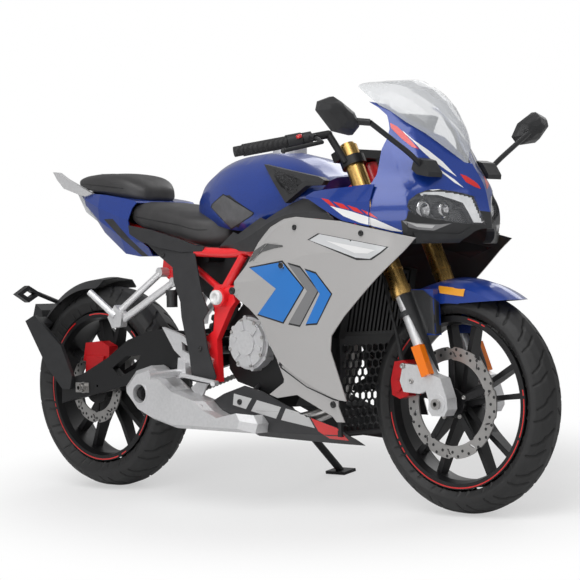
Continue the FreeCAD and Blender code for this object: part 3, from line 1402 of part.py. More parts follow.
def cockpit():
    """Front stay, instrument and mirrors."""
    bits = []
    axis_z = 860.0
    level = (axis_z - STEER_FOOT.z) / math.cos(RAKE)
    root = steer_point(level, size("head_tube_radius") - 4)
    for side in (-1, 1):
        start = root.add(Vector(0, side * 14, 0))
        bend = at(1256, side * 24, 884)
        end = at(1340, side * 132, 904)
        bits += [rod(start, bend, 8), Part.makeSphere(8, bend), rod(bend, end, 8)]
    bits.append(rod(at(1256, -24, 884), at(1256, 24, 884), 8))
    bits.append(rod(at(1256, 0, 884), at(1236, 0, 1000), 8))
    stay = fuse(bits)
    dash = slab([(1196, 992), (1208, 986), (1240, 1050), (1228, 1056)], -78, 78)
    back = slab([(1208, 986), (1232, 986), (1252, 1040), (1238, 1048)], -50, 50)
    add("instrument", largest(seated(fuse([dash, back, stay]), solids("frame"), solids("nose_cowl"))))
    mirrors = []
    glasses = []
    for side in (-1, 1):
        base = slab([(1334, 900), (1352, 886), (1390, 878), (1392, 890), (1372, 922), (1345, 930)],
                    side * 96, side * 152)
        base = largest(base.cut(nose_solid(0)))
        stalk = bent_tube([at(1362, side * 150, 912), at(1362, side * 190, 938), at(1352, side * 330, 1012)], 7)
        outline = [(324, 1004), (352, 1042), (419, 1076), (465, 1062), (472, 1040), (414, 990), (350, 982)]
        sections = []
        for x, share in ((1296, 1.0), (1310, 1.0), (1330, 0.72), (1342, 0.3)):
            sections.append([at(x, side * (395 + (y - 395) * share), 1026 + (z - 1026) * share) for y, z in outline])
        head = loft(sections, True)
        arm = rod(at(1352, side * 330, 1012), at(1322, side * 356, 1016), 9)
        glass = loft([
            [at(1292, side * (395 + (y - 395) * 0.9), 1026 + (z - 1026) * 0.9) for y, z in outline],
            [at(1299, side * (395 + (y - 395) * 0.9), 1026 + (z - 1026) * 0.9) for y, z in outline],
        ], True)
        whole = fuse([base, stalk, head, arm]).cut(glass)
        mirrors.append(largest(seated(whole, solids("nose_cowl"), solids("instrument"))))
        glasses.append(glass)
    add("mirrors", Part.makeCompound(mirrors))
    add("mirror_glasses", Part.makeCompound(glasses))


def footrests():
    """Rider and pillion footrests with their brackets, pedals and the rear brake reservoir."""
    spread = size("rail_spread") + 8
    carriers = (solids("frame"), solids("rear_axle_and_pivot"), solids("side_panels"), solids("muffler"))
    rests = []
    for side in (-1, 1):
        plate = slab([
            (390, 491), (470, 469), (540, 432), (PIVOT_X + 10, PIVOT_Z - 24), (590, 400), (580, 362),
            (549, 356), (500, 380), (474, 400), (440, 424),
        ], side * spread, side * (spread + 12))
        plate = plate.cut(slab([(470, 450), (520, 426), (516, 410), (474, 424)], side * 100, side * 200))
        peg = rod(at(474, side * (spread + 10), 362), at(462, side * 284, 356), 11)
        knuckle = slab([(462, 344), (500, 350), (500, 390), (470, 404)], side * (spread + 2), side * (spread + 26))
        bits = [plate, knuckle, peg]
        elbow = at(486, side * 182, 356)
        toe = at(640, side * 188, 336)
        bits += [rod(elbow, toe, 6), rod(toe, at(648, side * 212, 334), 7), Part.makeSphere(7, toe),
                 rod(at(486, side * (spread + 18), 356), elbow, 9), Part.makeSphere(9, elbow)]
        rests.append(seated(fuse(bits), *carriers))
        upper = rod(at(338, side * 110, 650), at(212, side * 166, 536), 10)
        lower = rod(at(402, side * 120, 620), at(216, side * 166, 506), 11)
        bosses = [wheel_axis_rod(338, 650, side * 90, side * 120, 14),
                  wheel_axis_rod(402, 620, side * 90, side * 128, 14)]
        hub = slab([(176, 520), (196, 488), (232, 492), (240, 530), (208, 556)], side * 154, side * 180)
        peg = rod(at(206, side * 176, 524), at(128, side * 206, 596), 10)
        rests.append(seated(fuse([upper, lower, hub, peg] + bosses), *carriers))
    add("footrests", Part.makeCompound(rests))
    cup = Part.makeCylinder(16, 34, at(424, -150, 548), Vector(0, 0, 1))
    lid = Part.makeCylinder(18, 16, at(424, -150, 582), Vector(0, 0, 1))
    hook = rod(at(424, -140, 590), at(424, -86, 646), 4)
    add("brake_reservoir", seated(fuse([cup, lid, hook]), solids("frame"), solids("side_panels")))


def rear_end():
    """Rear hugger with its arms, signals, caliper and shock."""
    section = [
        Vector(0, 0, REAR_R + 334), Vector(0, 60, REAR_R + 326), Vector(0, 84, REAR_R + 300),
        Vector(0, 84 - WALL, REAR_R + 300), Vector(0, 60, REAR_R + 326 - WALL), Vector(0, 0, REAR_R + 334 - WALL),
        Vector(0, -60, REAR_R + 326 - WALL), Vector(0, -84 + WALL, REAR_R + 300), Vector(0, -84, REAR_R + 300),
        Vector(0, -60, REAR_R + 326),
    ]
    hoop = Part.Face(ring_wire(section)).revolve(Vector(0, 0, REAR_R), Vector(0, 1, 0), 360)
    keep = slab([(20, 610), (30, 660), (-200, 680), (-320, 600), (-262, 470)], -120, 120)
    hugger = hoop.common(keep)
    half = size("arm_inner") + size("arm_wall")
    arm_outline = [(-258, 508), (-157, 365), (-118, 330), (-86, 300), (-50, 300), (-40, 340), (-89, 431), (-214, 526)]
    arms = []
    for side in (-1, 1):
        arm = slab(arm_outline, side * half, side * (half + 12))
        foot = slab([(-250, 500), (-220, 520), (-196, 500), (-226, 476)], side * 78, side * (half + 1))
        arms += [arm, foot]
    blade = slab([(-262, 470), (-270, 540), (-300, 560), (-320, 500), (-300, 440)], -60, 60)
    signals = []
    for side in (-1, 1):
        rim_outline = [(100, 0), (150, 26), (196, 0), (150, -26)]
        ring_points = [at(-206, side * (30 + y), 592 + z) for y, z in rim_outline]
        hole_points = [at(-206, side * (30 + 147 + (y - 147) * 0.5), 592 + z * 0.5) for y, z in rim_outline]
        body = Part.Face(ring_wire(ring_points)).extrude(Vector(22, 0, 0))
        hole = Part.Face(ring_wire(hole_points)).extrude(Vector(22, 0, 0))
        stem = rod(at(-194, side * 48, 562), at(-196, side * 134, 592), 7)
        signals += [body.cut(hole), stem]
    add("plate_holder", seated(fuse([hugger, blade] + arms + signals), solids("rear_axle_and_pivot")))
    disc_side = -size("rear_disc_side")
    body = slab([(-42, 386), (-30, 440), (40, 446), (78, 430), (76, 392), (40, 378)], disc_side - 16, disc_side + 18)
    slot = Part.makeCylinder(size("rear_disc_radius") + 6, 15, Vector(0, disc_side + 7.5, REAR_R), Vector(0, -1, 0))
    bracket = slab([(-30, 300), (30, 300), (60, 400), (-20, 400)], disc_side - 23, disc_side - 16)
    ring = wheel_axis_rod(0, REAR_R, disc_side - 23, disc_side - 16, 26)
    caliper = fuse([body.cut(slot), bracket, ring])
    caliper = caliper.cut(wheel_axis_rod(0, REAR_R, -200, 200, 14))
    add("rear_caliper", seated(caliper, solids("swingarm"), solids("rear_axle_and_pivot")))
    spring = rod(at(470, 0, 470), at(540, 0, 660), 30)
    ends = [rod(at(456, 0, 428), at(470, 0, 470), 14), rod(at(540, 0, 660), at(546, 0, 684), 12)]
    for step in range(7):
        start = 8 + step * 27
        heading = Vector(70, 0, 190).normalize()
        low = at(470, 0, 470).add(Vector(heading).multiply(start))
        ends.append(rod(low, low.add(Vector(heading).multiply(9)), 38))
    cross = rod(at(546, -128, 684), at(546, 128, 684), 10)
    low_cross = rod(at(456, -size("arm_inner"), 428), at(456, size("arm_inner"), 428), 12)
    add("rear_shock", seated(fuse([spring, cross, low_cross] + ends), solids("swingarm"), solids("frame"),
                             solids("frame")))


STAND_PIVOT = at(size("stand_x"), size("stand_y"), size("stand_z"))
SPLAY = math.radians(size("stand_splay"))
STAND_DOWN = Vector(0, math.sin(SPLAY), -math.cos(SPLAY))
STAND_AXIS = Vector(0, math.cos(SPLAY), math.sin(SPLAY))
STAND_RAKE = math.radians(size("stand_rake"))
STAND_LINE = Vector(STAND_DOWN).multiply(math.cos(STAND_RAKE)).add(Vector(math.sin(STAND_RAKE), 0, 0))


def ground_z(y):
    """Height of the leaning motorcycle's ground, on the upright motorcycle."""
    crown = 68.0
    drop = crown * (math.cos(LEAN) - 1)
    return (drop + y * math.sin(LEAN)) / math.cos(LEAN)


def stand_point(distance):
    """Point on the side stand's hinge, measured outwards along its pin."""
    return STAND_PIVOT.add(Vector(STAND_AXIS).multiply(distance))


def side_stand():
    """Side stand with its foot flat on the ground, and the bracket that it hinges on."""
    length = 100.0
    for _ in range(40):
        tip = STAND_PIVOT.add(Vector(STAND_LINE).multiply(length))
        length += (tip.z - ground_z(tip.y) - 6) * 0.8
    tip = STAND_PIVOT.add(Vector(STAND_LINE).multiply(length))
    pin_r = size("stand_pin_radius")
    half = 11.5
    eye = rod(stand_point(-half), stand_point(half), 16)
    leg = rod(STAND_PIVOT.add(Vector(STAND_LINE).multiply(10)), tip, 11)
    foot = Part.makeBox(74, 52, 9, Vector(-37, -26, 0))
    ground = Vector(tip.x, tip.y, ground_z(tip.y))
    foot.Placement = Placement(ground, Rotation(Vector(1, 0, 0), math.degrees(LEAN)))
    below = Part.makeBox(400, 400, 100, Vector(-200, -200, -100))
    below.Placement = Placement(ground, Rotation(Vector(1, 0, 0), math.degrees(LEAN)))
    stand = fuse([eye, leg, foot]).cut(below)
    clearance = size("pin_clearance")
    add("side_stand", stand.cut(rod(stand_point(-30), stand_point(30), pin_r + clearance)))
    cheek = rod(stand_point(-half - GAP), stand_point(-half - GAP - 8), 17)
    pin = rod(stand_point(-half - GAP - 4), stand_point(half + GAP + 5), pin_r)
    cap = rod(stand_point(half + GAP), stand_point(half + GAP + 5), 11)
    arm_end = at(598, 122, PIVOT_Z - 80)
    arm = rod(stand_point(-half - GAP - 6), arm_end, 13)
    arm = arm.cut(rod(stand_point(-half - GAP), stand_point(60), 22))
    add("stand_bracket", seated(fuse([cheek, arm, pin, cap]), solids("frame"), solids("swingarm")))


def lean_all():
    """Lean every piece over and put the middle of the whole bottom at the origin."""
    tilt = Rotation(Vector(1, 0, 0), -math.degrees(LEAN))
    box = FreeCAD.BoundBox()
    for piece, home in PIECES.values():
        piece.Placement = Placement(Vector(), tilt).multiply(home)
        box.add(piece.Shape.optimalBoundingBox())
    shift = Vector(-box.Center.x, -box.Center.y, -box.ZMin)
    for piece, home in PIECES.values():
        piece.Placement = Placement(shift, tilt).multiply(home)
    return shift


def check_document():
    """Stop where an object or a piece failed."""
    for item in DOC.Objects:
        if "Invalid" in item.State or "Error" in item.State:
            raise RuntimeError(f"{item.Name} failed")
    unsound = [label for label, (piece, _) in PIECES.items()
               if piece.Shape.isNull() or not piece.Shape.isValid() or not piece.Shape.Solids]
    if unsound:
        raise RuntimeError(f"Not sound solids: {unsound}")


def write_pieces():
    """Write each piece to a file of its own."""
    os.makedirs("parts", exist_ok=True)
    for label, (piece, _) in PIECES.items():
        piece.Shape.exportStep(f"parts/{label}.step")


wheels()
fork()
add("fork_guards", fork_guards())
add("front_fender", front_fender())
add("front_caliper", front_caliper())
clip_ons()
add("brake_hose", brake_hose())
add("fork_reflectors", fork_reflectors())
add("frame", fuse([frame(), subframe()]))
add("swingarm", swingarm())
add("rear_axle_and_pivot", Part.makeCompound([rear_axle(), pivot_bolt()]))
add("rear_sprocket", rear_sprocket())
add("drive_chain", Part.makeCompound([chain(), front_sprocket()]))
engine()
exhaust()
radiator()
PADS = tank()
BLADES = tail()
seats(BLADES, PADS)
side_panels(BLADES)
side_fairings(PADS)
belly_pan()
lower_grille()
nose()
cockpit()
footrests()
rear_end()
side_stand()
DOC.recompute()
SHIFT = lean_all()
DOC.recompute()
check_document()
write_pieces()
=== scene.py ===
"""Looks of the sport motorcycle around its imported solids: paint, rubber, metal, seats, graphics and light."""
import math

import bmesh
import bpy
from mathutils import Matrix, Vector
from mathutils.bvhtree import BVHTree


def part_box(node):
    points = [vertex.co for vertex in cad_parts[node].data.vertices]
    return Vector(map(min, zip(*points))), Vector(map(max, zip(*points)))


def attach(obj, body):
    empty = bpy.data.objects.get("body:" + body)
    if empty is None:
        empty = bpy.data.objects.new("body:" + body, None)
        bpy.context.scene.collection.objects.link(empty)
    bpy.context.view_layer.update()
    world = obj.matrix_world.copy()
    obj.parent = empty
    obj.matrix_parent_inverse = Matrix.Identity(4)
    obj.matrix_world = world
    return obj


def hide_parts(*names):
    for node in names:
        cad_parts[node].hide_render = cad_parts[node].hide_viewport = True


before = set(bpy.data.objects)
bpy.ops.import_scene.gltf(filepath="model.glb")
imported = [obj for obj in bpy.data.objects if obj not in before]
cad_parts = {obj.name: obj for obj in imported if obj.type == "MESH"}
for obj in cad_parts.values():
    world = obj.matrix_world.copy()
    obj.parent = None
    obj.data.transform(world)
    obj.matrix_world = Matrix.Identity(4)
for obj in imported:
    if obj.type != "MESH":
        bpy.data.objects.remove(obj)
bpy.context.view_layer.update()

LEAN = Matrix.Rotation(math.radians(-9.0), 4, "X")
REAR_AXLE = Vector((0.0, 0.0, 0.306))


def box_centre(node):
    """Middle of a node's box at rest."""
    low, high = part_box(node)
    return (low + high) / 2


TO_ROW = Matrix.Translation(box_centre("rear_tyre") - LEAN @ REAR_AXLE) @ LEAN
TO_BIKE = TO_ROW.inverted()


def mm(x, y, z):
    """Point of the upright motorcycle in millimetres, as a point of the upright frame in metres."""
    return Vector((x, y, z)) / 1000.0


EYE = mm(4779.28, -4244.69, 616.59)
ACROSS = TO_ROW.to_3x3() @ Vector((0, 1, 0))
MIDDLE = TO_ROW @ Vector((0, 0, 0))


# Materials

FLAKE_SCALE = 1400.0
CLEAR_COAT_ROUGHNESS = 0.04
BRUSH_STRETCH = (1.0, 40.0, 1.0)
INNER = (0.02, 0.02, 0.022)
INWARD_LIMIT = -0.004
# Painted shade: colour of the tread rubber deep in its grooves
GROOVE_SHADE = (0.0012, 0.0012, 0.0012)
THREAD_WIDTH = 0.12


def principled(made):
    """The principled shader of a material."""
    return made.node_tree.nodes["Principled BSDF"]


def material(name, color, rough, metal=0.0, coat=0.0):
    """New principled material."""
    made = bpy.data.materials.new(name)
    made.use_nodes = True
    shader = principled(made)
    shader.inputs["Base Color"].default_value = (*color, 1.0)
    shader.inputs["Roughness"].default_value = rough
    shader.inputs["Metallic"].default_value = metal
    shader.inputs["Coat Weight"].default_value = coat
    return made


def node(made, kind, **values):
    """New node in a material, with its inputs and settings filled in."""
    fresh = made.node_tree.nodes.new(kind)
    for key, value in values.items():
        if key in fresh.inputs:
            fresh.inputs[key].default_value = value
        else:
            setattr(fresh, key, value)
    return fresh


def link(made, start, end):
    """Join two sockets of a material."""
    made.node_tree.links.new(start, end)


def noise(made, scale, detail=3.0, stretch=(1.0, 1.0, 1.0)):
    """Noise over the object's own coordinates."""
    coords = node(made, "ShaderNodeTexCoord")
    spread = node(made, "ShaderNodeMapping", Scale=stretch)
    grain = node(made, "ShaderNodeTexNoise", Scale=scale, Detail=detail)
    link(made, coords.outputs["Object"], spread.inputs["Vector"])
    link(made, spread.outputs["Vector"], grain.inputs["Vector"])
    return grain.outputs["Fac"]


def vary(made, fac, low, high, socket):
    """Feed a shader socket from noise between two colours or two values."""
    shader = principled(made)
    if isinstance(low, tuple):
        ramp = node(made, "ShaderNodeValToRGB")
        ramp.color_ramp.elements[0].position = 0.35
        ramp.color_ramp.elements[1].position = 0.65
        ramp.color_ramp.elements[0].color = (*low, 1.0)
        ramp.color_ramp.elements[1].color = (*high, 1.0)
        link(made, fac, ramp.inputs["Fac"])
        link(made, ramp.outputs["Color"], shader.inputs[socket])
    else:
        span = node(made, "ShaderNodeMapRange")
        span.inputs["To Min"].default_value = low
        span.inputs["To Max"].default_value = high
        link(made, fac, span.inputs["Value"])
        link(made, span.outputs["Result"], shader.inputs[socket])


def bump(made, height, strength, distance):
    """Bump the surface by a height field."""
    relief = node(made, "ShaderNodeBump", Strength=strength, Distance=distance)
    link(made, height, relief.inputs["Height"])
    link(made, relief.outputs["Normal"], principled(made).inputs["Normal"])


def tinted(made, fac, second):
    """Mix the base colour with a second one by a factor."""
    base = principled(made).inputs["Base Color"]
    tint = node(made, "ShaderNodeMix", data_type="RGBA")
    first = base.links[0].from_socket
    link(made, fac, tint.inputs["Factor"])
    link(made, first, tint.inputs["A"])
    tint.inputs["B"].default_value = (*second, 1.0)
    link(made, tint.outputs["Result"], base)


def shade(color, factor):
    """A colour made darker or lighter."""
    return tuple(min(1.0, channel * factor) for channel in color)


def paint(name, color, rough, flake, metal, coat):
    """Glossy paint with fine flakes under a clear coat."""
    made = material(name, color, rough, metal, coat)
    principled(made).inputs["Coat Roughness"].default_value = CLEAR_COAT_ROUGHNESS
    flakes = noise(made, FLAKE_SCALE, detail=1.0)
    vary(made, flakes, shade(color, 1 - flake), shade(color, 1 + flake), "Base Color")
    return made


def plastic(name, color, rough, grain=900.0, depth=0.25):
    """Moulded plastic with a fine grain."""
    made = material(name, color, rough)
    vary(made, noise(made, 35.0), shade(color, 0.9), shade(color, 1.12), "Base Color")
    vary(made, noise(made, 60.0), rough - 0.06, rough + 0.08, "Roughness")
    bump(made, noise(made, grain, detail=2.0), depth, distance=0.0004)
    return made


def coated(name, color, rough, metal):
    """Cast or blasted metal with a fine skin."""
    made = material(name, color, rough, metal)
    vary(made, noise(made, 120.0), shade(color, 0.96), shade(color, 1.03), "Base Color")
    vary(made, noise(made, 200.0), rough - 0.03, rough + 0.05, "Roughness")
    bump(made, noise(made, 420.0, detail=2.0), strength=0.2, distance=0.0003)
    return made


def brushed(name, color, rough):
    """Turned or brushed metal."""
    made = material(name, color, rough, metal=1.0)
    streaks = noise(made, 60.0, detail=4.0, stretch=BRUSH_STRETCH)
    vary(made, streaks, rough - 0.08, rough + 0.12, "Roughness")
    vary(made, noise(made, 18.0), shade(color, 0.88), shade(color, 1.05), "Base Color")
    bump(made, noise(made, 300.0, detail=2.0, stretch=BRUSH_STRETCH), strength=0.08, distance=0.0002)
    return made


def clear(name, color, rough, cover):
    """Thin clear plastic: part of the light passes straight through."""
    made = material(name, color, rough)
    principled(made).inputs["Alpha"].default_value = cover
    vary(made, noise(made, 8.0), shade(color, 0.95), shade(color, 1.0), "Base Color")
    return made


def two_sided(made):
    """Bare dark plastic on the faces that look towards the middle of the motorcycle."""
    shape = node(made, "ShaderNodeNewGeometry")
    facing = node(made, "ShaderNodeVectorMath", operation="DOT_PRODUCT")
    facing.inputs[1].default_value = ACROSS
    offset = node(made, "ShaderNodeVectorMath", operation="SUBTRACT")
    offset.inputs[1].default_value = MIDDLE
    side = node(made, "ShaderNodeVectorMath", operation="DOT_PRODUCT")
    side.inputs[1].default_value = ACROSS
    product = node(made, "ShaderNodeMath", operation="MULTIPLY")
    inward = node(made, "ShaderNodeMath", operation="LESS_THAN")
    inward.inputs[1].default_value = INWARD_LIMIT
    link(made, shape.outputs["True Normal"], facing.inputs[0])
    link(made, shape.outputs["Position"], offset.inputs[0])
    link(made, offset.outputs["Vector"], side.inputs[0])
    link(made, facing.outputs["Value"], product.inputs[0])
    link(made, side.outputs["Value"], product.inputs[1])
    link(made, product.outputs[0], inward.inputs[0])
    tinted(made, inward.outputs[0], INNER)
    return made


def tread_rubber():
    """Tyre rubber with painted shade: darker in the grooves of the tread."""
    made = plastic("tyre_rubber", (0.015, 0.015, 0.0155), 0.58, grain=380.0, depth=0.3)
    # The cut attribute, taken from the depth of the grooves, places the painted shade of the grooves.
    cut = node(made, "ShaderNodeAttribute", attribute_name="cut")
    tinted(made, cut.outputs["Fac"], GROOVE_SHADE)
    return made


def meshed(name, color, scale):
    """Dark woven mesh with bright threads."""
    made = material(name, color, 0.5, metal=0.3)
    coords = node(made, "ShaderNodeTexCoord")
    cells = node(made, "ShaderNodeTexVoronoi", Scale=scale, feature="DISTANCE_TO_EDGE")
    link(made, coords.outputs["Object"], cells.inputs["Vector"])
    span = node(made, "ShaderNodeMapRange")
    span.inputs["From Max"].default_value = THREAD_WIDTH
    span.inputs["To Min"].default_value = 1.0
    span.inputs["To Max"].default_value = 0.0
    link(made, cells.outputs["Distance"], span.inputs["Value"])
    vary(made, span.outputs["Result"], shade(color, 0.25), shade(color, 3.0), "Base Color")
    bump(made, span.outputs["Result"], strength=0.8, distance=0.001)
    return made


def ribbed(name, color, spacing, direction):
    """Rubber with even ribs."""
    made = material(name, color, 0.7)
    coords = node(made, "ShaderNodeTexCoord")
    wave = node(made, "ShaderNodeTexWave", Scale=spacing, Distortion=0.4, bands_direction=direction)
    link(made, coords.outputs["Object"], wave.inputs["Vector"])
    bump(made, wave.outputs["Fac"], strength=0.7, distance=0.0012)
    vary(made, noise(made, 60.0), shade(color, 0.85), shade(color, 1.2), "Base Color")
    return made


BLUE = (0.006, 0.038, 0.26)
MAT = {
    "blue": paint("blue_paint", BLUE, 0.3, 0.25, 0.15, 0.6),
    "cowl": two_sided(paint("blue_cowl_paint", BLUE, 0.3, 0.25, 0.15, 0.6)),
    "silver": two_sided(paint("silver_paint", (0.43, 0.42, 0.415), 0.42, 0.04, 0.1, 0.4)),
    "slot": plastic("slot_grey", (0.10, 0.10, 0.10), 0.45),
    "outline": plastic("outline_black", (0.012, 0.012, 0.013), 0.45),
    "panel_blue": paint("graphic_blue", (0.01, 0.17, 0.55), 0.36, 0.03, 0.0, 0.5),
    "panel_grey": paint("graphic_grey", (0.2, 0.2, 0.205), 0.4, 0.04, 0.1, 0.5),
    "amber": paint("amber_patch", (0.85, 0.36, 0.02), 0.35, 0.03, 0.0, 0.6),
    "light_grey": paint("light_grey_ink", (0.5, 0.5, 0.5), 0.42, 0.03, 0.0, 0.4),
    "mesh": meshed("scoop_mesh", (0.03, 0.03, 0.032), 260.0),
    "drl": plastic("running_light", (0.72, 0.73, 0.74), 0.3, 80.0, 0.2),
    "lamp_shell": plastic("lamp_shell", (0.03, 0.03, 0.033), 0.25, 120.0, 0.2),
    "grip": ribbed("grip_rubber", (0.016, 0.016, 0.017), 42.0, "X"),
    "white": paint("white_paint", (0.78, 0.78, 0.78), 0.3, 0.02, 0.0, 0.8),
    "red_paint": paint("red_paint", (0.62, 0.012, 0.012), 0.28, 0.06, 0.0, 0.8),
    "red_frame": paint("red_frame_paint", (0.82, 0.016, 0.022), 0.34, 0.06, 0.0, 0.5),
    "red_caliper": coated("red_caliper_enamel", (0.5, 0.006, 0.01), 0.32, 0.2),
    "black_metal": coated("black_metal_coat", (0.011, 0.011, 0.012), 0.4, 0.3),
    "dark_plastic": plastic("dark_plastic_skin", (0.016, 0.0165, 0.018), 0.46),
    "satin_dark": plastic("satin_dark_panel", (0.024, 0.024, 0.026), 0.42, 700.0, 0.12),
    "grey_pad": plastic("grey_knee_pad", (0.10, 0.10, 0.105), 0.62, 500.0, 0.5),
    "rubber": plastic("black_rubber", (0.016, 0.016, 0.017), 0.72, 600.0, 0.5),
    "tyre": tread_rubber(),
    "aluminium": coated("cast_aluminium", (0.7, 0.7, 0.71), 0.4, 0.6),
    "steel": brushed("brushed_steel", (0.44, 0.43, 0.42), 0.34),
    "gold": brushed("gold_anodised", (0.62, 0.39, 0.13), 0.26),
    "chrome": brushed("bright_steel", (0.72, 0.72, 0.73), 0.16),
    "seat": plastic("seat_vinyl", (0.036, 0.035, 0.036), 0.46, 260.0, 0.5),
    "screen": clear("tinted_screen", (0.62, 0.64, 0.66), 0.06, 0.38),
    "lens": clear("lamp_lens", (0.5, 0.52, 0.55), 0.04, 0.07),
    "strip": two_sided(clear("strip_lens", (0.6, 0.61, 0.62), 0.12, 1.0)),
    "mirror": brushed("mirror_glass", (0.85, 0.86, 0.88), 0.05),
    "orange": clear("orange_reflector", (0.9, 0.2, 0.01), 0.15, 1.0),
}

NODE_LOOK = {
    "front_tyre": "tyre", "rear_tyre": "tyre", "front_rim": "black_metal", "rear_rim": "black_metal",
    "front_disc": "steel", "rear_disc": "steel", "front_disc_carrier": "black_metal",
    "rear_disc_carrier": "black_metal", "fork_tubes": "gold", "fork_sliders": "aluminium",
    "triple_clamps": "black_metal", "front_axle": "steel", "front_fender": "blue",
    "fork_guards": "dark_plastic", "front_caliper": "red_caliper", "handlebars": "black_metal",
    "grips": "grip", "bar_controls": "dark_plastic", "frame": "red_frame", "swingarm": "black_metal",
    "rear_axle_and_pivot": "steel", "rear_sprocket": "steel", "drive_chain": "steel",
    "engine": "black_metal", "engine_covers": "aluminium", "exhaust_header": "steel",
    "muffler": "aluminium", "radiator": "black_metal", "fuel_tank": "blue", "fuel_cap": "aluminium",
    "tail_cowl": "blue", "grab_rails": "aluminium", "tail_light": "strip", "pillion_seat": "seat",
    "rider_seat": "seat", "side_panels": "satin_dark", "side_fairings": "silver",
    "turn_strips": "strip", "tank_trims": "satin_dark", "belly_pan": "satin_dark", "nose_cowl": "cowl",
    "headlight_lenses": "lens", "chin_duct": "dark_plastic", "windscreen": "screen",
    "cowl_sides": "cowl", "instrument": "dark_plastic", "mirrors": "dark_plastic",
    "mirror_glasses": "mirror", "footrests": "aluminium", "brake_reservoir": "dark_plastic",
    "plate_holder": "dark_plastic", "rear_caliper": "red_caliper", "rear_shock": "black_metal",
    "side_stand": "black_metal", "stand_bracket": "black_metal", "brake_hose": "rubber",
    "fork_reflectors": "orange", "lower_grille": "dark_plastic", "headlight_bodies": "lamp_shell",
}
CURVED_NODES = ("fuel_tank", "front_fender", "nose_cowl", "mirrors", "windscreen")
SMOOTH_ANGLE = math.radians(34.0)


def soften(skin):
    """Shade the facets of a curved node as one skin, apart from its sharp edges."""
    join = skin.modifiers.new("join", "WELD")
    join.merge_threshold = 0.0001
    split = skin.modifiers.new("edges", "EDGE_SPLIT")
    split.split_angle = SMOOTH_ANGLE
    skin.data.polygons.foreach_set("use_smooth", [True] * len(skin.data.polygons))


def dress_nodes():
    """Give each CAD node its one material, and the curved ones a smooth skin."""
    for name, cad_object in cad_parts.items():
        cad_object.data.materials.clear()
        cad_object.data.materials.append(MAT[NODE_LOOK[name]])
    for name in CURVED_NODES:
        soften(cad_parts[name])


# Pieces laid on the surfaces of the CAD nodes

# Places clear of the motorcycle that rays start from, in millimetres
AHEAD = 1800
BESIDE = 400
FAR_BESIDE = 420
BACKWARD = Vector((-1, 0, 0))
# Longest edge that a film's face may have, in metres for each millimetre of its cell
TORN_EDGE = 0.0032
# Growth and depth of the rings of a plate, in millimetres
PLATE_RINGS = ((0.0, -3.0), (0.0, 0.2), (-1.2, 1.2))
# Head of a screw: shares of its radius, as distance from its axis and rise
HEAD_SIDES = 20
HEAD_AXIS = 0.0001
SOCKET_RISE = 0.25
HEAD_PROFILE = ((0.48, SOCKET_RISE), (0.52, 0.6), (0.82, 0.62), (1.0, 0.45), (1.0, -0.3))


def cad_tree(names):
    """Search tree over CAD nodes in the upright frame."""
    corners = []
    faces = []
    for name in names:
        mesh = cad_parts[name].data
        start = len(corners)
        corners += [TO_BIKE @ vertex.co for vertex in mesh.vertices]
        faces += [[start + index for index in face.vertices] for face in mesh.polygons]
    return BVHTree.FromPolygons(corners, faces)


def piece(name, corners, faces, body, look, smooth=True):
    """New mesh piece, given in the upright frame, that rides on a body."""
    mesh = bpy.data.meshes.new(name)
    mesh.from_pydata([TO_ROW @ corner for corner in corners], [], faces)
    mesh.validate()
    mesh.polygons.foreach_set("use_smooth", [smooth] * len(mesh.polygons))
    made = bpy.data.objects.new(name, mesh)
    bpy.context.scene.collection.objects.link(made)
    made.data.materials.append(MAT[look])
    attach(made, body)
    return made


def hit(tree, target, way=None):
    """Point and normal where the line through a point, from the eye or along a way, meets the surface."""
    if way is None:
        place, normal, _, _ = tree.ray_cast(EYE, (target - EYE).normalized())
    else:
        place, normal, _, _ = tree.ray_cast(target - way, way)
    if place is None:
        place, normal, _, _ = tree.find_nearest(target)
    if normal.dot(place - EYE) > 0:
        normal = -normal
    return place, normal


def flipped(corner):
    """The same point on the other side."""
    return Vector((corner.x, -corner.y, corner.z))


def decal(name, outlines, y, targets, look, body="chassis", lift=0.4, cell=7.0):
    """Thin film laid on the surface, from side-view outlines cast from the eye."""
    flat = [[mm(x, y, z) for x, z in outline] for outline in outlines]
    return film_on(name, flat, targets, look, body, lift, cell, None, (0, 2))


def front_decal(name, outlines, targets, look, lift, cell):
    """Thin film laid on the surface, from front-view outlines cast straight from ahead."""
    flat = [[mm(AHEAD, y, z) for y, z in outline] for outline in outlines]
    return film_on(name, flat, targets, look, "chassis", lift, cell, BACKWARD, (1, 2))


def cut_cells(film, axes, cell):
    """Cut a flat film across two axes into small cells."""
    for axis in axes:
        values = [corner.co[axis] for corner in film.verts]
        count = int((max(values) - min(values)) * 1000 / cell)
        for step in range(1, count + 1):
            place = [0.0, 0.0, 0.0]
            place[axis] = min(values) + step * cell / 1000
            normal = [0.0, 0.0, 0.0]
            normal[axis] = 1.0
            everything = film.verts[:] + film.edges[:] + film.faces[:]
            bmesh.ops.bisect_plane(film, geom=everything, plane_co=place, plane_no=normal)


def film_on(name, flat, targets, look, body, lift, cell, way, axes):
    """Film of flat outlines, cut into small cells, dropped on CAD nodes and mirrored."""
    tree = cad_tree(targets)
    film = bmesh.new()
    for outline in flat:
        film.faces.new([film.verts.new(corner) for corner in outline])
    cut_cells(film, axes, cell)
    for corner in film.verts:
        place, normal = hit(tree, corner.co, way)
        corner.co = place + normal * (lift / 1000)
    torn = [face for face in film.faces if max(edge.calc_length() for edge in face.edges) > cell * TORN_EDGE]
    bmesh.ops.delete(film, geom=torn, context="FACES")
    film.normal_update()
    for face in film.faces:
        if face.normal.dot(face.calc_center_median() - EYE) > 0:
            face.normal_flip()
    film.verts.index_update()
    corners = [corner.co.copy() for corner in film.verts]
    faces = [[corner.index for corner in face.verts] for face in film.faces]
    film.free()
    shift = len(corners)
    faces += [[shift + index for index in reversed(face)] for face in faces]
    corners += [flipped(corner) for corner in corners]
    return piece(name, corners, faces, body, look)


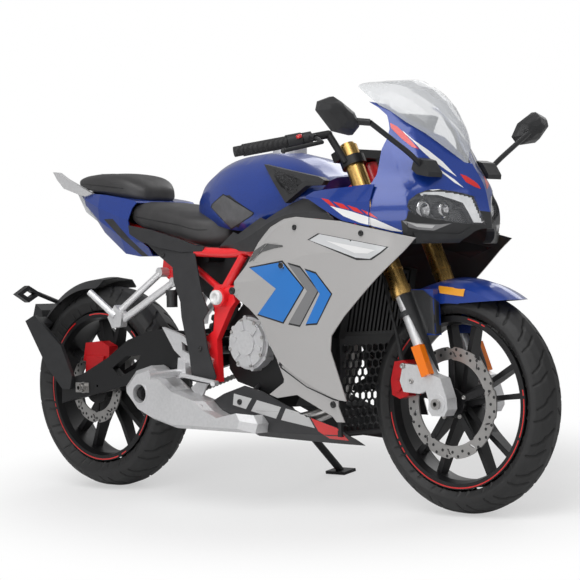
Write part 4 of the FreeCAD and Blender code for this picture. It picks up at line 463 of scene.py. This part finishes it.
def grown(outline, border):
    """An outline drawn a border larger."""
    x_mid = sum(x for x, _ in outline) / len(outline)
    z_mid = sum(z for _, z in outline) / len(outline)
    wide = []
    for x, z in outline:
        away = math.hypot(x - x_mid, z - z_mid)
        wide.append((x + (x - x_mid) * border / away, z + (z - z_mid) * border / away))
    return wide


def outermost(outline, targets):
    """How far out some CAD nodes reach at the points of an outline."""
    tree = cad_tree(targets)
    reach = 0.0
    for x, z in outline:
        place, _, _, _ = tree.ray_cast(mm(x, -BESIDE, z), Vector((0, 1, 0)))
        if place is not None:
            reach = max(reach, -place.y * 1000)
    return reach


def plates(name, outline, reach, look):
    """Thin flat plate a distance out from the middle, on both sides."""
    corners = []
    faces = []
    count = len(outline)
    for side in (-1, 1):
        start = len(corners)
        for grow, depth in PLATE_RINGS:
            corners += [mm(x, side * (reach + depth), z) for x, z in grown(outline, grow)]
        for ring in (0, 1):
            for step in range(count):
                after = (step + 1) % count
                face = [start + ring * count + step, start + ring * count + after,
                        start + (ring + 1) * count + after, start + (ring + 1) * count + step]
                faces.append(face)
        faces.append([start + 2 * count + step for step in range(count)])
        faces.append([start + step for step in range(count)][::-1])
    made = piece(name, corners, faces, "chassis", look, False)
    shape = bmesh.new()
    shape.from_mesh(made.data)
    bmesh.ops.recalc_face_normals(shape, faces=shape.faces)
    shape.to_mesh(made.data)
    shape.free()
    return made


def lathe(profile):
    """Corners and faces of a turned shape about Z."""
    corners = []
    faces = []
    for radius, height in profile:
        for step in range(HEAD_SIDES):
            turn = 2 * math.pi * step / HEAD_SIDES
            corners.append(Vector((radius * math.cos(turn), radius * math.sin(turn), height)))
    for row in range(len(profile) - 1):
        for step in range(HEAD_SIDES):
            after = (step + 1) % HEAD_SIDES
            faces.append([row * HEAD_SIDES + step, row * HEAD_SIDES + after,
                          (row + 1) * HEAD_SIDES + after, (row + 1) * HEAD_SIDES + step])
    return corners, faces


def bolts(name, places, look, body="chassis"):
    """Socket-head screws set on surface points, each a (point, outward, radius)."""
    corners = []
    faces = []
    for point, outward, radius in places:
        r = radius / 1000
        profile = [(HEAD_AXIS, r * SOCKET_RISE)] + [(r * share, r * rise) for share, rise in HEAD_PROFILE]
        ring, ring_faces = lathe(profile)
        turn = Vector((0, 0, 1)).rotation_difference(outward).to_matrix()
        start = len(corners)
        corners += [point + turn @ corner for corner in ring]
        faces += [[start + index for index in face] for face in ring_faces]
    return piece(name, corners, faces, body, look)


def side_hits(targets, spots, side):
    """Surface points found from straight beside the motorcycle."""
    tree = cad_tree(targets)
    found = []
    for x, z, radius in spots:
        place, _, _, _ = tree.ray_cast(mm(x, side * FAR_BESIDE, z), Vector((0, -side, 0)))
        if place is not None:
            found.append((place, Vector((0, side, 0)), radius))
    return found


# Tyres, rim tape and brake discs

TREAD_REPEATS = 18
TREAD_STEPS = 48
TREAD_RADIUS = 290
TREAD_SHARE = 0.93
# Rows across a tyre, and how far they sweep to each side of its crown, in degrees
TYRE_ROWS = 76
TYRE_SWEEP = 122
BEAD_RISE = 0.004
BEAD_INSET = 0.012
# Kinked grooves, as share of the half width and share of one repeat of the tread
GROOVE_PATHS = (((0.08, 0.10), (0.46, 0.34), (0.52, 0.44), (0.84, 0.62)),
                ((0.3, 0.66), (0.62, 0.86), (0.9, 0.96)))
GROOVE_DEPTH = 3.6
GROOVE_REACH = 3.4
GROOVE_WALL = 1.2
# Radius of the rim tape, and its edges to each side of that, in millimetres
RIM_FLANGE = 222.5
TAPE_EDGES = (-1.7, 1.7)
TAPE_STEP = 1.5
TAPE_LIFT = 0.0006
HOLES = 24
HOLE_SIDES = 10
HOLE_RADIUS = 4.2
HOLE_LIFT = 0.3


def groove_depth(turn, across, pitch, width):
    """Depth of the tread at a place: kinked grooves that repeat around the tyre, in millimetres."""
    side = 1.0 if across > 0 else -1.0
    reach = abs(across)
    phase = (turn + (0.5 * pitch if side > 0 else 0.0)) % pitch / pitch
    best = 9.0
    for path in GROOVE_PATHS:
        for (a_reach, a_phase), (b_reach, b_phase) in zip(path, path[1:]):
            for wrap in (-1.0, 0.0, 1.0):
                ax, ay = a_reach * width, (a_phase + wrap) * pitch * TREAD_RADIUS
                bx, by = b_reach * width, (b_phase + wrap) * pitch * TREAD_RADIUS
                px, py = reach * width, phase * pitch * TREAD_RADIUS
                run = (bx - ax) ** 2 + (by - ay) ** 2
                t = max(0.0, min(1.0, ((px - ax) * (bx - ax) + (py - ay) * (by - ay)) / run))
                best = min(best, math.hypot(px - ax - t * (bx - ax), py - ay - t * (by - ay)))
    return GROOVE_DEPTH * max(0.0, min(1.0, (GROOVE_REACH - best) / GROOVE_WALL))


def tyre_section(tree, axle, mid):
    """Section of a CAD tyre as radius and width, with its beads turned in."""
    section = []
    hub = axle + Vector((0, 0, mid / 1000))
    for row in range(TYRE_ROWS + 1):
        turn = math.radians(-TYRE_SWEEP + 2 * TYRE_SWEEP * row / TYRE_ROWS)
        out = Vector((0, math.sin(turn), math.cos(turn)))
        place, _, _, _ = tree.ray_cast(hub + out * 0.2, -out)
        section.append((place.z - axle.z, place.y - axle.y))
    section = [(section[0][0] + BEAD_RISE, section[0][1] + BEAD_INSET)] + section
    section.append((section[-1][0] + BEAD_RISE, section[-1][1] - BEAD_INSET))
    return section


def tread_depths(section, width):
    """Groove depths over one repeat of the tread, a row for each step around."""
    pitch = 2 * math.pi / TREAD_REPEATS
    depths = []
    for step in range(TREAD_STEPS):
        row_depths = []
        for _, across in section:
            share = across * 1000 / (width / 2)
            cut = 0.0
            if abs(share) < TREAD_SHARE:
                cut = groove_depth(pitch * step / TREAD_STEPS, share, pitch, width / 2)
            row_depths.append(cut)
        depths.append(row_depths)
    return depths


def tyre_piece(end, body, mid, width):
    """Tyre with a cut tread and painted shade in its grooves, laid over the section of its CAD tyre."""
    axle = TO_BIKE @ box_centre(f"{end}_tyre")
    section = tyre_section(cad_tree([f"{end}_tyre"]), axle, mid)
    depths = tread_depths(section, width)
    around = TREAD_STEPS * TREAD_REPEATS
    corners = []
    faces = []
    groove_shading = []
    for step in range(around):
        turn = 2 * math.pi * step / around
        for (radius, across), depth in zip(section, depths[step % TREAD_STEPS]):
            reach = radius - depth / 1000
            corners.append(axle + Vector((reach * math.sin(turn), across, reach * math.cos(turn))))
            # Share of painted shade: full where a groove is two millimetres deep or more.
            groove_shading.append(min(1.0, depth / 2.0))
    size = len(section)
    for step in range(around):
        after = (step + 1) % around
        for row in range(size - 1):
            here = step * size + row
            there = after * size + row
            faces.append([here, there, there + 1, here + 1])
    made = piece(f"{end}_tyre_tread", corners, faces, body, "tyre")
    made.data.attributes.new("cut", "FLOAT", "POINT").data.foreach_set("value", groove_shading)
    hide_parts(f"{end}_tyre")


def rim_stripe(end, body, spans):
    """Red tape on both flanges of a rim, in stretches and short dashes."""
    tree = cad_tree([f"{end}_rim"])
    axle = TO_BIKE @ box_centre(f"{end}_tyre")
    corners = []
    faces = []
    for side in (-1, 1):
        for start, stop in spans:
            count = max(2, int((stop - start) / TAPE_STEP))
            for step in range(count + 1):
                turn = math.radians(start + (stop - start) * step / count)
                for edge in TAPE_EDGES:
                    reach = (RIM_FLANGE + edge) / 1000
                    spot = axle + Vector((reach * math.sin(turn), 0, reach * math.cos(turn)))
                    place, _, _, _ = tree.ray_cast(spot + Vector((0, side * 0.2, 0)), Vector((0, -side, 0)))
                    if place is None:
                        place = spot + Vector((0, side * 0.05, 0))
                    corners.append(place + Vector((0, side * TAPE_LIFT, 0)))
                if step:
                    last = len(corners)
                    face = [last - 4, last - 3, last - 1, last - 2]
                    faces.append(face if side > 0 else face[::-1])
    piece(f"{end}_rim_stripe", corners, faces, body, "red_paint")


def disc_holes(end, body, radii):
    """Dark drilled holes around a brake disc."""
    tree = cad_tree([f"{end}_disc"])
    axle = TO_BIKE @ box_centre(f"{end}_tyre")
    corners = []
    faces = []
    for row, reach in enumerate(radii):
        for step in range(HOLES):
            turn = 2 * math.pi * (step + row * 0.5) / HOLES
            spot = mm(axle.x * 1000 + reach * math.cos(turn), -BESIDE, axle.z * 1000 + reach * math.sin(turn))
            place, _, _, _ = tree.ray_cast(spot, Vector((0, 1, 0)))
            if place is None:
                continue
            start = len(corners)
            for side in range(HOLE_SIDES):
                around = 2 * math.pi * side / HOLE_SIDES
                edge = mm(HOLE_RADIUS * math.cos(around), -HOLE_LIFT, HOLE_RADIUS * math.sin(around))
                corners.append(place + edge)
            faces.append([start + side for side in range(HOLE_SIDES)])
    piece(f"{end}_disc_holes", corners, faces, body, "outline")


# Seats

SEAT_AROUND = 40
SEAT_CROWN = 4
SEAT_MIDDLE = 0.45
# Rounded ends of a seat, as share of the end section and distance past it in millimetres
SEAT_ENDS = ((0.35, 13), (0.72, 9), (0.9, 4))
WELT_RADIUS = 1.3
WELT_SIDES = 8


def smooth_path(points, steps):
    """Smooth line through points."""
    line = []
    for index in range(len(points) - 1):
        before = points[max(index - 1, 0)]
        start = points[index]
        end = points[index + 1]
        after = points[min(index + 2, len(points) - 1)]
        for step in range(steps):
            t = step / steps
            slope = (end - before) * t
            bend = (2 * before - 5 * start + 4 * end - after) * t * t
            twist = (3 * start - before - 3 * end + after) * t ** 3
            line.append(0.5 * (2 * start + slope + bend + twist))
    return line + [points[-1]]


def welt(name, points):
    """Thin round cord along a smooth line through points."""
    line = smooth_path([mm(*point) for point in points], 8)
    corners = []
    faces = []
    across = None
    for index, here in enumerate(line):
        ahead = (line[min(index + 1, len(line) - 1)] - line[max(index - 1, 0)]).normalized()
        if across is None:
            across = ahead.orthogonal().normalized()
        across = (across - ahead * across.dot(ahead)).normalized()
        other = ahead.cross(across)
        for side in range(WELT_SIDES):
            turn = 2 * math.pi * side / WELT_SIDES
            corners.append(here + (across * math.cos(turn) + other * math.sin(turn)) * WELT_RADIUS / 1000)
    for row in range(len(line) - 1):
        for side in range(WELT_SIDES):
            after = (side + 1) % WELT_SIDES
            faces.append([row * WELT_SIDES + side, row * WELT_SIDES + after,
                          (row + 1) * WELT_SIDES + after, (row + 1) * WELT_SIDES + side])
    faces.append(list(range(WELT_SIDES))[::-1])
    faces.append([(len(line) - 1) * WELT_SIDES + side for side in range(WELT_SIDES)])
    return piece(name, corners, faces, "chassis", "outline")


def cushion_sections(stations):
    """Stations of a seat with smaller ones added that round off both ends."""
    first = stations[0]
    last = stations[-1]
    rows = [(first[0] - shift, *first[1:], share) for share, shift in SEAT_ENDS]
    rows += [(*station, 1.0) for station in stations]
    rows += [(last[0] + shift, *last[1:], share) for share, shift in reversed(SEAT_ENDS)]
    return rows


def cushion(name, stations):
    """Padded seat in the place of its CAD solid: crowned sections with rounded ends and shallow creases."""
    rows = cushion_sections(stations)
    corners = []
    for x, top, half, low, share in rows:
        middle = low + (top - low) * SEAT_MIDDLE
        for step in range(SEAT_AROUND):
            turn = 2 * math.pi * step / SEAT_AROUND
            across = math.copysign(abs(math.cos(turn)) ** 0.5, math.cos(turn))
            rise = math.copysign(abs(math.sin(turn)) ** 0.66, math.sin(turn))
            reach = (top + SEAT_CROWN - middle) if rise > 0 else (middle - low)
            corners.append(mm(x, half * share * across, middle + reach * share * rise))
    faces = []
    for row in range(len(rows) - 1):
        for step in range(SEAT_AROUND):
            after = (step + 1) % SEAT_AROUND
            faces.append([row * SEAT_AROUND + step, (row + 1) * SEAT_AROUND + step,
                          (row + 1) * SEAT_AROUND + after, row * SEAT_AROUND + after])
    faces.append(list(range(SEAT_AROUND)))
    faces.append([(len(rows) - 1) * SEAT_AROUND + step for step in range(SEAT_AROUND)][::-1])
    made = piece(f"{name}_cover", corners, faces, "chassis", "seat")
    refine = made.modifiers.new("refine", "SUBSURF")
    refine.levels = 2
    refine.render_levels = 2
    creases = bpy.data.textures.new(f"{name}_creases", "CLOUDS")
    creases.noise_scale = 0.07
    relief = made.modifiers.new("creases", "DISPLACE")
    relief.texture = creases
    relief.strength = 0.004
    relief.mid_level = 0.5
    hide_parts(name)
    return made


def seam(name, cover, line, y):
    """Raised welts along both sides of a seat."""
    mesh = bpy.data.meshes.new_from_object(cover.evaluated_get(bpy.context.evaluated_depsgraph_get()))
    tree = BVHTree.FromPolygons([TO_BIKE @ vertex.co for vertex in mesh.vertices],
                                [list(face.vertices) for face in mesh.polygons])
    path = smooth_path([mm(x, y, z) for x, z in line], 10)
    held = [hit(tree, point) for point in path]
    for side, label in ((1, "right"), (-1, "left")):
        points = [(place.x * 1000, place.y * 1000 * side, place.z * 1000) for place, _ in held]
        welt(f"{name}_{label}", points[::2] + [points[-1]])


# Camera, light and floor

AIM = mm(751.22, 0, 592.08)
CAMERA_DISTANCE = 5.85178
CAMERA_AZIMUTH = math.radians(43.5)
CAMERA_RISE = math.radians(0.24)
CAMERA_ROLL = math.radians(-1.04)
WHITE = (1.0, 1.0, 1.0, 1.0)
FLOOR_SQUEEZE = (1.0, 1.6, 0.0)
FADE_START = 0.75
FADE_END = 1.5
LIGHT_ALL_AROUND = 0.42


def make_camera():
    """Camera at the photograph's place, carried over with the lean."""
    level = math.cos(CAMERA_RISE)
    back_x = math.sin(CAMERA_AZIMUTH) * level
    back_y = -math.cos(CAMERA_AZIMUTH) * level
    back = Vector((back_x, back_y, math.sin(CAMERA_RISE)))
    right = (-back).cross(Vector((0, 0, 1))).normalized()
    up = right.cross(-back)
    turned_right = right * math.cos(CAMERA_ROLL) + up * math.sin(CAMERA_ROLL)
    turned_up = up * math.cos(CAMERA_ROLL) - right * math.sin(CAMERA_ROLL)
    place = AIM + back * CAMERA_DISTANCE
    data = bpy.data.cameras.new("camera")
    data.lens = 128.46
    data.sensor_width = 36.0
    data.clip_end = 100.0
    eye = bpy.data.objects.new("camera", data)
    bpy.context.scene.collection.objects.link(eye)
    turn = Matrix((turned_right, turned_up, back)).transposed().to_4x4()
    eye.matrix_world = TO_ROW @ Matrix.Translation(place) @ turn
    bpy.context.scene.camera = eye


def floor_material():
    """Pale matte floor that keeps the shadow and fades to plain white away from the motorcycle."""
    made = material("floor_pale", (0.8, 0.8, 0.8), 0.9)
    vary(made, noise(made, 3.0), (0.795, 0.795, 0.795), (0.8, 0.8, 0.8), "Base Color")
    coords = node(made, "ShaderNodeTexCoord")
    squeeze = node(made, "ShaderNodeVectorMath", operation="MULTIPLY")
    squeeze.inputs[1].default_value = FLOOR_SQUEEZE
    away = node(made, "ShaderNodeVectorMath", operation="LENGTH")
    fade = node(made, "ShaderNodeMapRange", interpolation_type="SMOOTHSTEP")
    fade.inputs["From Min"].default_value = FADE_START
    fade.inputs["From Max"].default_value = FADE_END
    fade.inputs["To Min"].default_value = 0.5
    fade.inputs["To Max"].default_value = 1.0
    link(made, coords.outputs["Object"], squeeze.inputs[0])
    link(made, squeeze.outputs["Vector"], away.inputs[0])
    link(made, away.outputs["Value"], fade.inputs["Value"])
    path = node(made, "ShaderNodeLightPath")
    seen = node(made, "ShaderNodeMath", operation="MULTIPLY")
    link(made, fade.outputs["Result"], seen.inputs[0])
    link(made, path.outputs["Is Camera Ray"], seen.inputs[1])
    white = node(made, "ShaderNodeEmission", Strength=1.0, Color=WHITE)
    mix = node(made, "ShaderNodeMixShader")
    link(made, seen.outputs[0], mix.inputs["Fac"])
    link(made, principled(made).outputs[0], mix.inputs[1])
    link(made, white.outputs[0], mix.inputs[2])
    link(made, mix.outputs[0], made.node_tree.nodes["Material Output"].inputs["Surface"])
    return made


def make_world():
    """Soft even light from all around, and a white background."""
    world = bpy.data.worlds.new("studio")
    bpy.context.scene.world = world
    world.use_nodes = True
    tree = world.node_tree
    plain = tree.nodes["Background"]
    plain.inputs["Color"].default_value = WHITE
    plain.inputs["Strength"].default_value = LIGHT_ALL_AROUND
    shown = tree.nodes.new("ShaderNodeBackground")
    shown.inputs["Color"].default_value = WHITE
    shown.inputs["Strength"].default_value = 1.0
    path = tree.nodes.new("ShaderNodeLightPath")
    mix = tree.nodes.new("ShaderNodeMixShader")
    tree.links.new(path.outputs["Is Camera Ray"], mix.inputs["Fac"])
    tree.links.new(plain.outputs[0], mix.inputs[1])
    tree.links.new(shown.outputs[0], mix.inputs[2])
    tree.links.new(mix.outputs[0], tree.nodes["World Output"].inputs["Surface"])


def make_stage():
    """Pale floor in the even light."""
    bpy.ops.mesh.primitive_plane_add(size=60.0, location=(0, 0, 0))
    floor = bpy.context.object
    floor.name = "stage_floor"
    floor.data.materials.append(floor_material())
    make_world()


def area_light(name, place, aim, width, height, power):
    """Soft panel of light aimed at a point."""
    data = bpy.data.lights.new(name, "AREA")
    data.shape = "RECTANGLE"
    data.size = width
    data.size_y = height
    data.energy = power
    lamp = bpy.data.objects.new(name, data)
    bpy.context.scene.collection.objects.link(lamp)
    lamp.location = place
    lamp.rotation_mode = "QUATERNION"
    lamp.rotation_quaternion = (Vector(aim) - Vector(place)).to_track_quat("-Z", "Y")


def make_lights():
    """Large soft panels above, beside and ahead."""
    area_light("key_above", (0.6, -1.6, 3.4), (0, 0, 0.5), 3.2, 2.2, 70.0)
    area_light("side_right", (0.3, -4.2, 1.6), (0, 0, 0.6), 3.0, 1.8, 34.0)
    area_light("front_fill", (4.2, -1.0, 1.8), (0, 0, 0.7), 1.6, 2.2, 9.0)
    area_light("left_rim", (-0.6, 3.4, 2.4), (0, 0, 0.6), 2.6, 1.6, 30.0)


# The pieces of this motorcycle

NOSE = ["nose_cowl", "cowl_sides"]
CHIN = ["chin_duct", "nose_cowl"]
SIDE = ["side_fairings"]
STRIPS = ["side_fairings", "turn_strips"]
PAN = ["belly_pan"]
TANK = ["fuel_tank", "tank_trims"]
LAMP = ["headlight_bodies"]
# Stretches of the rim tape around each wheel, in degrees
FRONT_TAPE = [(-60, -32), (-30, -28), (-26, -24), (12, 22), (24, 27), (80, 84), (86, 112), (114, 230),
              (232, 236), (238, 241), (243, 262)]
REAR_TAPE = [(-12, 14), (16, 19), (40, 66), (104, 130), (150, 156), (160, 250), (252, 255), (257, 330)]
# Sections of the seats: place along the motorcycle, top, half width and bottom, in millimetres
PILLION_STATIONS = [(-70, 942, 68, 918), (-24, 951, 94, 904), (60, 952, 106, 886), (130, 947, 106, 872),
                    (180, 934, 92, 864), (216, 908, 66, 862)]
RIDER_STATIONS = [(204, 858, 104, 798), (250, 858, 120, 772), (340, 846, 127, 756), (420, 829, 129, 736),
                  (490, 812, 119, 716), (540, 808, 100, 712), (584, 813, 78, 726)]
SKIRT = [(246, 790), (342, 774), (455, 746), (529, 724), (566, 720), (556, 706), (470, 706), (380, 720),
         (300, 740), (250, 764)]
INNER_PANEL = [(400, 700), (690, 700), (650, 620), (606, 560), (596, 480), (530, 480), (500, 560), (420, 620)]
CHEVRONS = (
    ("a", -205, [(796, 655), (918, 669), (994, 598), (918, 507), (824, 529), (894, 597)], "panel_blue"),
    ("b", -215, [(950, 663), (994, 652), (1057, 590), (990, 499), (949, 505), (1018, 590)], "panel_grey"),
    ("c", -215, [(1012, 646), (1051, 635), (1104, 581), (1052, 505), (1012, 502), (1064, 582)], "panel_blue"),
)
TURN_STRIP = [(1039, 725), (1077, 740), (1309, 700), (1284, 686), (1251, 671), (1203, 675)]
KNEE_PAD = [(634, 863), (749, 809), (744, 803), (662, 769), (585, 830), (590, 839)]
FAIRING_SCREWS = ((967, -205, 761, 7.5), (1222, -225, 738, 7.5), (1074, -180, 287, 9.0),
                  (702, -180, 593, 10.0), (693, -150, 282, 8.0), (930, -222, 660, 7.5))


def wheel_pieces():
    """Cut treads in the place of the plain tyres, and the red tape of the rims."""
    tyre_piece("front", "front_wheel", mid=257.0, width=110.0)
    tyre_piece("rear", "rear_wheel", mid=264.0, width=150.0)
    rim_stripe("front", "front_wheel", FRONT_TAPE)
    rim_stripe("rear", "rear_wheel", REAR_TAPE)


def seat_pieces():
    """Padded seats with their welts, and the dark plates below them."""
    pillion = cushion("pillion_seat", PILLION_STATIONS)
    rider = cushion("rider_seat", RIDER_STATIONS)
    seam("pillion_seam", pillion, [(-20, 925), (50, 917), (120, 909), (170, 903)], -104)
    seam("rider_seam", rider, [(250, 815), (340, 800), (430, 785), (500, 770), (550, 768)], -126)
    plates("seat_skirts", SKIRT, outermost(SKIRT, ["frame", "side_panels"]), "satin_dark")
    plates("inner_panels", INNER_PANEL, 62.0, "dark_plastic")


def nose_stripes():
    """White and red stripes of the nose and the upper cowl."""
    decal("nose_band_white", [
        [(1295, 1004), (1332, 977), (1382, 947), (1430, 914), (1475, 874), (1440, 893), (1394, 921),
         (1355, 951), (1335, 971), (1302, 996)],
    ], -140, NOSE, "white")
    decal("nose_band_white_low", [
        [(1361, 915), (1404, 888), (1436, 869), (1465, 847), (1436, 861), (1394, 889), (1374, 903)],
    ], -100, NOSE, "white")
    decal("nose_band_red", [
        [(1259, 1025), (1283, 1014), (1310, 993), (1336, 968), (1356, 950), (1332, 958), (1299, 980),
         (1262, 1011)],
        [(1385, 914), (1394, 912), (1404, 897), (1397, 896), (1388, 906)],
    ], -145, NOSE, "red_paint")
    decal("nose_flash_red", [
        [(1421, 886), (1441, 880), (1466, 866), (1479, 857), (1489, 844), (1469, 850), (1440, 864)],
    ], -60, NOSE, "red_paint")
    decal("side_swoosh", [
        [(1111, 813), (1181, 797), (1267, 773), (1364, 737), (1324, 741), (1215, 765), (1156, 785)],
    ], -220, NOSE, "white")
    decal("side_dashes", [
        [(1079, 835), (1107, 829), (1135, 807), (1114, 813)],
        [(1122, 824), (1157, 816), (1181, 800), (1149, 806)],
        [(1171, 813), (1205, 804), (1229, 787), (1195, 796)],
        [(1219, 800), (1253, 789), (1277, 774), (1243, 784)],
    ], -220, NOSE, "red_paint", lift=0.6)


def pan_and_fender_marks():
    """Red wedge and light bars of the belly pan, and the amber patch of the front fender."""
    decal("pan_wedge", [[(963, 246), (1058, 222), (1100, 190), (1031, 193), (990, 211)]], -150, PAN,
          "red_paint")
    decal("pan_bars", [
        [(670, 305), (740, 293), (716, 263), (665, 273)],
        [(760, 289), (852, 272), (832, 240), (736, 258)],
        [(870, 269), (952, 254), (977, 219), (851, 237)],
    ], -150, PAN, "light_grey")
    decal("fender_patch", [[(1350, 597), (1436, 587), (1431, 569), (1348, 579)]], -66, ["front_fender"],
          "amber", body="steering", lift=2.0)


def side_chevrons():
    """Three chevrons on each side fairing, each with a black border."""
    for mark, depth, outline, look in CHEVRONS:
        decal(f"side_chevron_{mark}_edge", [grown(outline, 5.0)], depth, SIDE, "outline", lift=0.35)
        decal(f"side_chevron_{mark}", [outline], depth, SIDE, look, lift=0.8)


def fairing_details():
    """Mesh of the scoops, beds of the slots and painted shade along the grooves of the lower wings."""
    decal("scoop_mesh", [[(859, 923), (948, 901), (947, 860), (917, 851), (888, 885)]], -172, ["tank_trims"],
          "mesh", lift=0.6)
    decal("slot_beds", [
        [(772, 678), (795, 700), (841, 721), (907, 715), (909, 710), (876, 707), (831, 698), (804, 684),
         (781, 671)],
    ], -190, SIDE, "slot", lift=0.6, cell=3.0)
    # Black lines of painted shade along the grooves of the lower wings.
    decal("wing_groove_shade", [
        [(873, 396), (987, 334), (1083, 304), (1126, 295), (1126, 292), (1082, 300), (987, 331), (872, 392)],
    ], -190, SIDE, "outline", lift=0.5)


def turn_strips():
    """Turn signal strips: a black edge, a pale cover and a bright core."""
    decal("turn_strip_edges", [grown(TURN_STRIP, 7.0)], -225, STRIPS, "outline", lift=0.5)
    decal("turn_strip_covers", [TURN_STRIP], -225, STRIPS, "strip", lift=1.2)
    decal("turn_strip_cores", [[(1100, 722), (1270, 693), (1245, 685), (1200, 687)]], -225, STRIPS, "white",
          lift=1.8)


def pads_and_guards():
    """Grey knee pads of the tank with their edges, and the dark covers of the fork guards."""
    decal("knee_pad_edges", [grown(KNEE_PAD, 4.0)], -140, TANK, "outline", lift=0.8)
    decal("knee_pad_covers", [KNEE_PAD], -140, TANK, "grey_pad", lift=1.6)
    decal("fork_guard_covers", [[(1276, 604), (1336, 594), (1412, 545), (1420, 452), (1304, 448)]], -125,
          ["front_fender", "fork_guards"], "dark_plastic", body="steering", lift=1.5)


def headlight_pieces():
    """Winglets under the lamps, running lights and the bowls of the lamps."""
    decal("lamp_winglets", [
        [(1291, 769), (1338, 761), (1415, 755), (1456, 757), (1397, 740), (1346, 744), (1313, 751)],
    ], -140, CHIN, "panel_grey", lift=0.6)
    decal("lamp_winglet_edges", [[(1300, 767), (1338, 759), (1400, 753), (1390, 746), (1340, 751)]], -140,
          CHIN, "light_grey", lift=1.2)
    front_decal("running_lights", [
        [(-150, 836), (-137, 841), (-110, 843), (-72, 836), (-37, 825), (-26, 790), (-17, 759), (-38, 760),
         (-48, 786), (-60, 811), (-80, 820), (-112, 832), (-137, 833), (-148, 828)],
    ], LAMP, "drl", lift=0.6, cell=3.0)
    tree = cad_tree(LAMP)
    bowls = []
    for y, z, radius in ((-132, 794, 29), (-84, 794, 22)):
        for side in (1, -1):
            place, _ = hit(tree, mm(AHEAD, y * side, z), BACKWARD)
            bowls.append((place + mm(1, 0, 0), Vector((1, 0, 0)), radius))
    bolts("lamp_bowls", bowls, "chrome")


def muffler_mouth_shade():
    """Painted shade in the mouth of the muffler: a dark disc in its bore."""
    outlet, outward = hit(cad_tree(["muffler"]), mm(379, -230, 304))
    # The disc, in the black rubber material, is painted shade for the inside of the bore.
    bolts("muffler_mouth_shade", [(outlet + outward * 0.001, outward, 24.0)], "rubber")


def fairing_fixings():
    """Screws of the side fairings and the belly pan, on both sides."""
    tree = cad_tree(SIDE + PAN)
    fixings = []
    for x, y, z, radius in FAIRING_SCREWS:
        place, normal = hit(tree, mm(x, y, z))
        fixings.append((place, normal, radius))
        fixings.append((flipped(place), flipped(normal), radius))
    bolts("fairing_fixings", fixings, "outline")


def circle_spots(x, z, reach, first, count, radius):
    """Spots of equal screws on a circle in side view."""
    spots = []
    for step in range(count):
        turn = math.radians(first + 360 // count * step)
        spots.append((x + reach * math.cos(turn), z + reach * math.sin(turn), radius))
    return spots


def chassis_and_hub_bolts():
    """White caps where the frame tubes meet, and the screws of the front hub, the engine and the caliper."""
    joint = [(626, 575, 21.0)]
    bolts("frame_caps", side_hits(["frame"], joint, -1) + side_hits(["frame"], joint, 1), "white")
    hub = circle_spots(1380, 293, reach=44, first=20, count=5, radius=6.0)
    bolts("front_hub_bolts", side_hits(["front_disc_carrier"], hub, -1), "steel", "front_wheel")
    cover = circle_spots(717, 446, reach=64, first=15, count=8, radius=5.0)
    bolts("engine_bolts", side_hits(["engine_covers", "engine"], cover, -1), "steel")
    caliper = [(1262, 390, 8.0), (1290, 350, 7.0)]
    bolts("caliper_bolts", side_hits(["front_caliper", "fork_sliders"], caliper, -1), "steel", "steering")


def switch_and_tail_fixings():
    """Red stop switch on the right bar, and the screws of the right side panel."""
    switch, _ = hit(cad_tree(["bar_controls"]), mm(1041, -260, 998))
    bolts("stop_switch", [(switch, Vector((0, -0.4, 0.9)).normalized(), 8.0)], "red_paint", "steering")
    bolts("tail_fixings", side_hits(["side_panels"], [(387, 699, 6.5), (560, 430, 7.0)], -1), "outline")


dress_nodes()
wheel_pieces()
seat_pieces()
nose_stripes()
pan_and_fender_marks()
side_chevrons()
fairing_details()
turn_strips()
pads_and_guards()
headlight_pieces()
muffler_mouth_shade()
fairing_fixings()
chassis_and_hub_bolts()
disc_holes("front", "front_wheel", (128, 140))
disc_holes("rear", "rear_wheel", (96, 104))
switch_and_tail_fixings()
make_camera()
make_stage()
make_lights()

bpy.context.scene.view_settings.view_transform = "Standard"
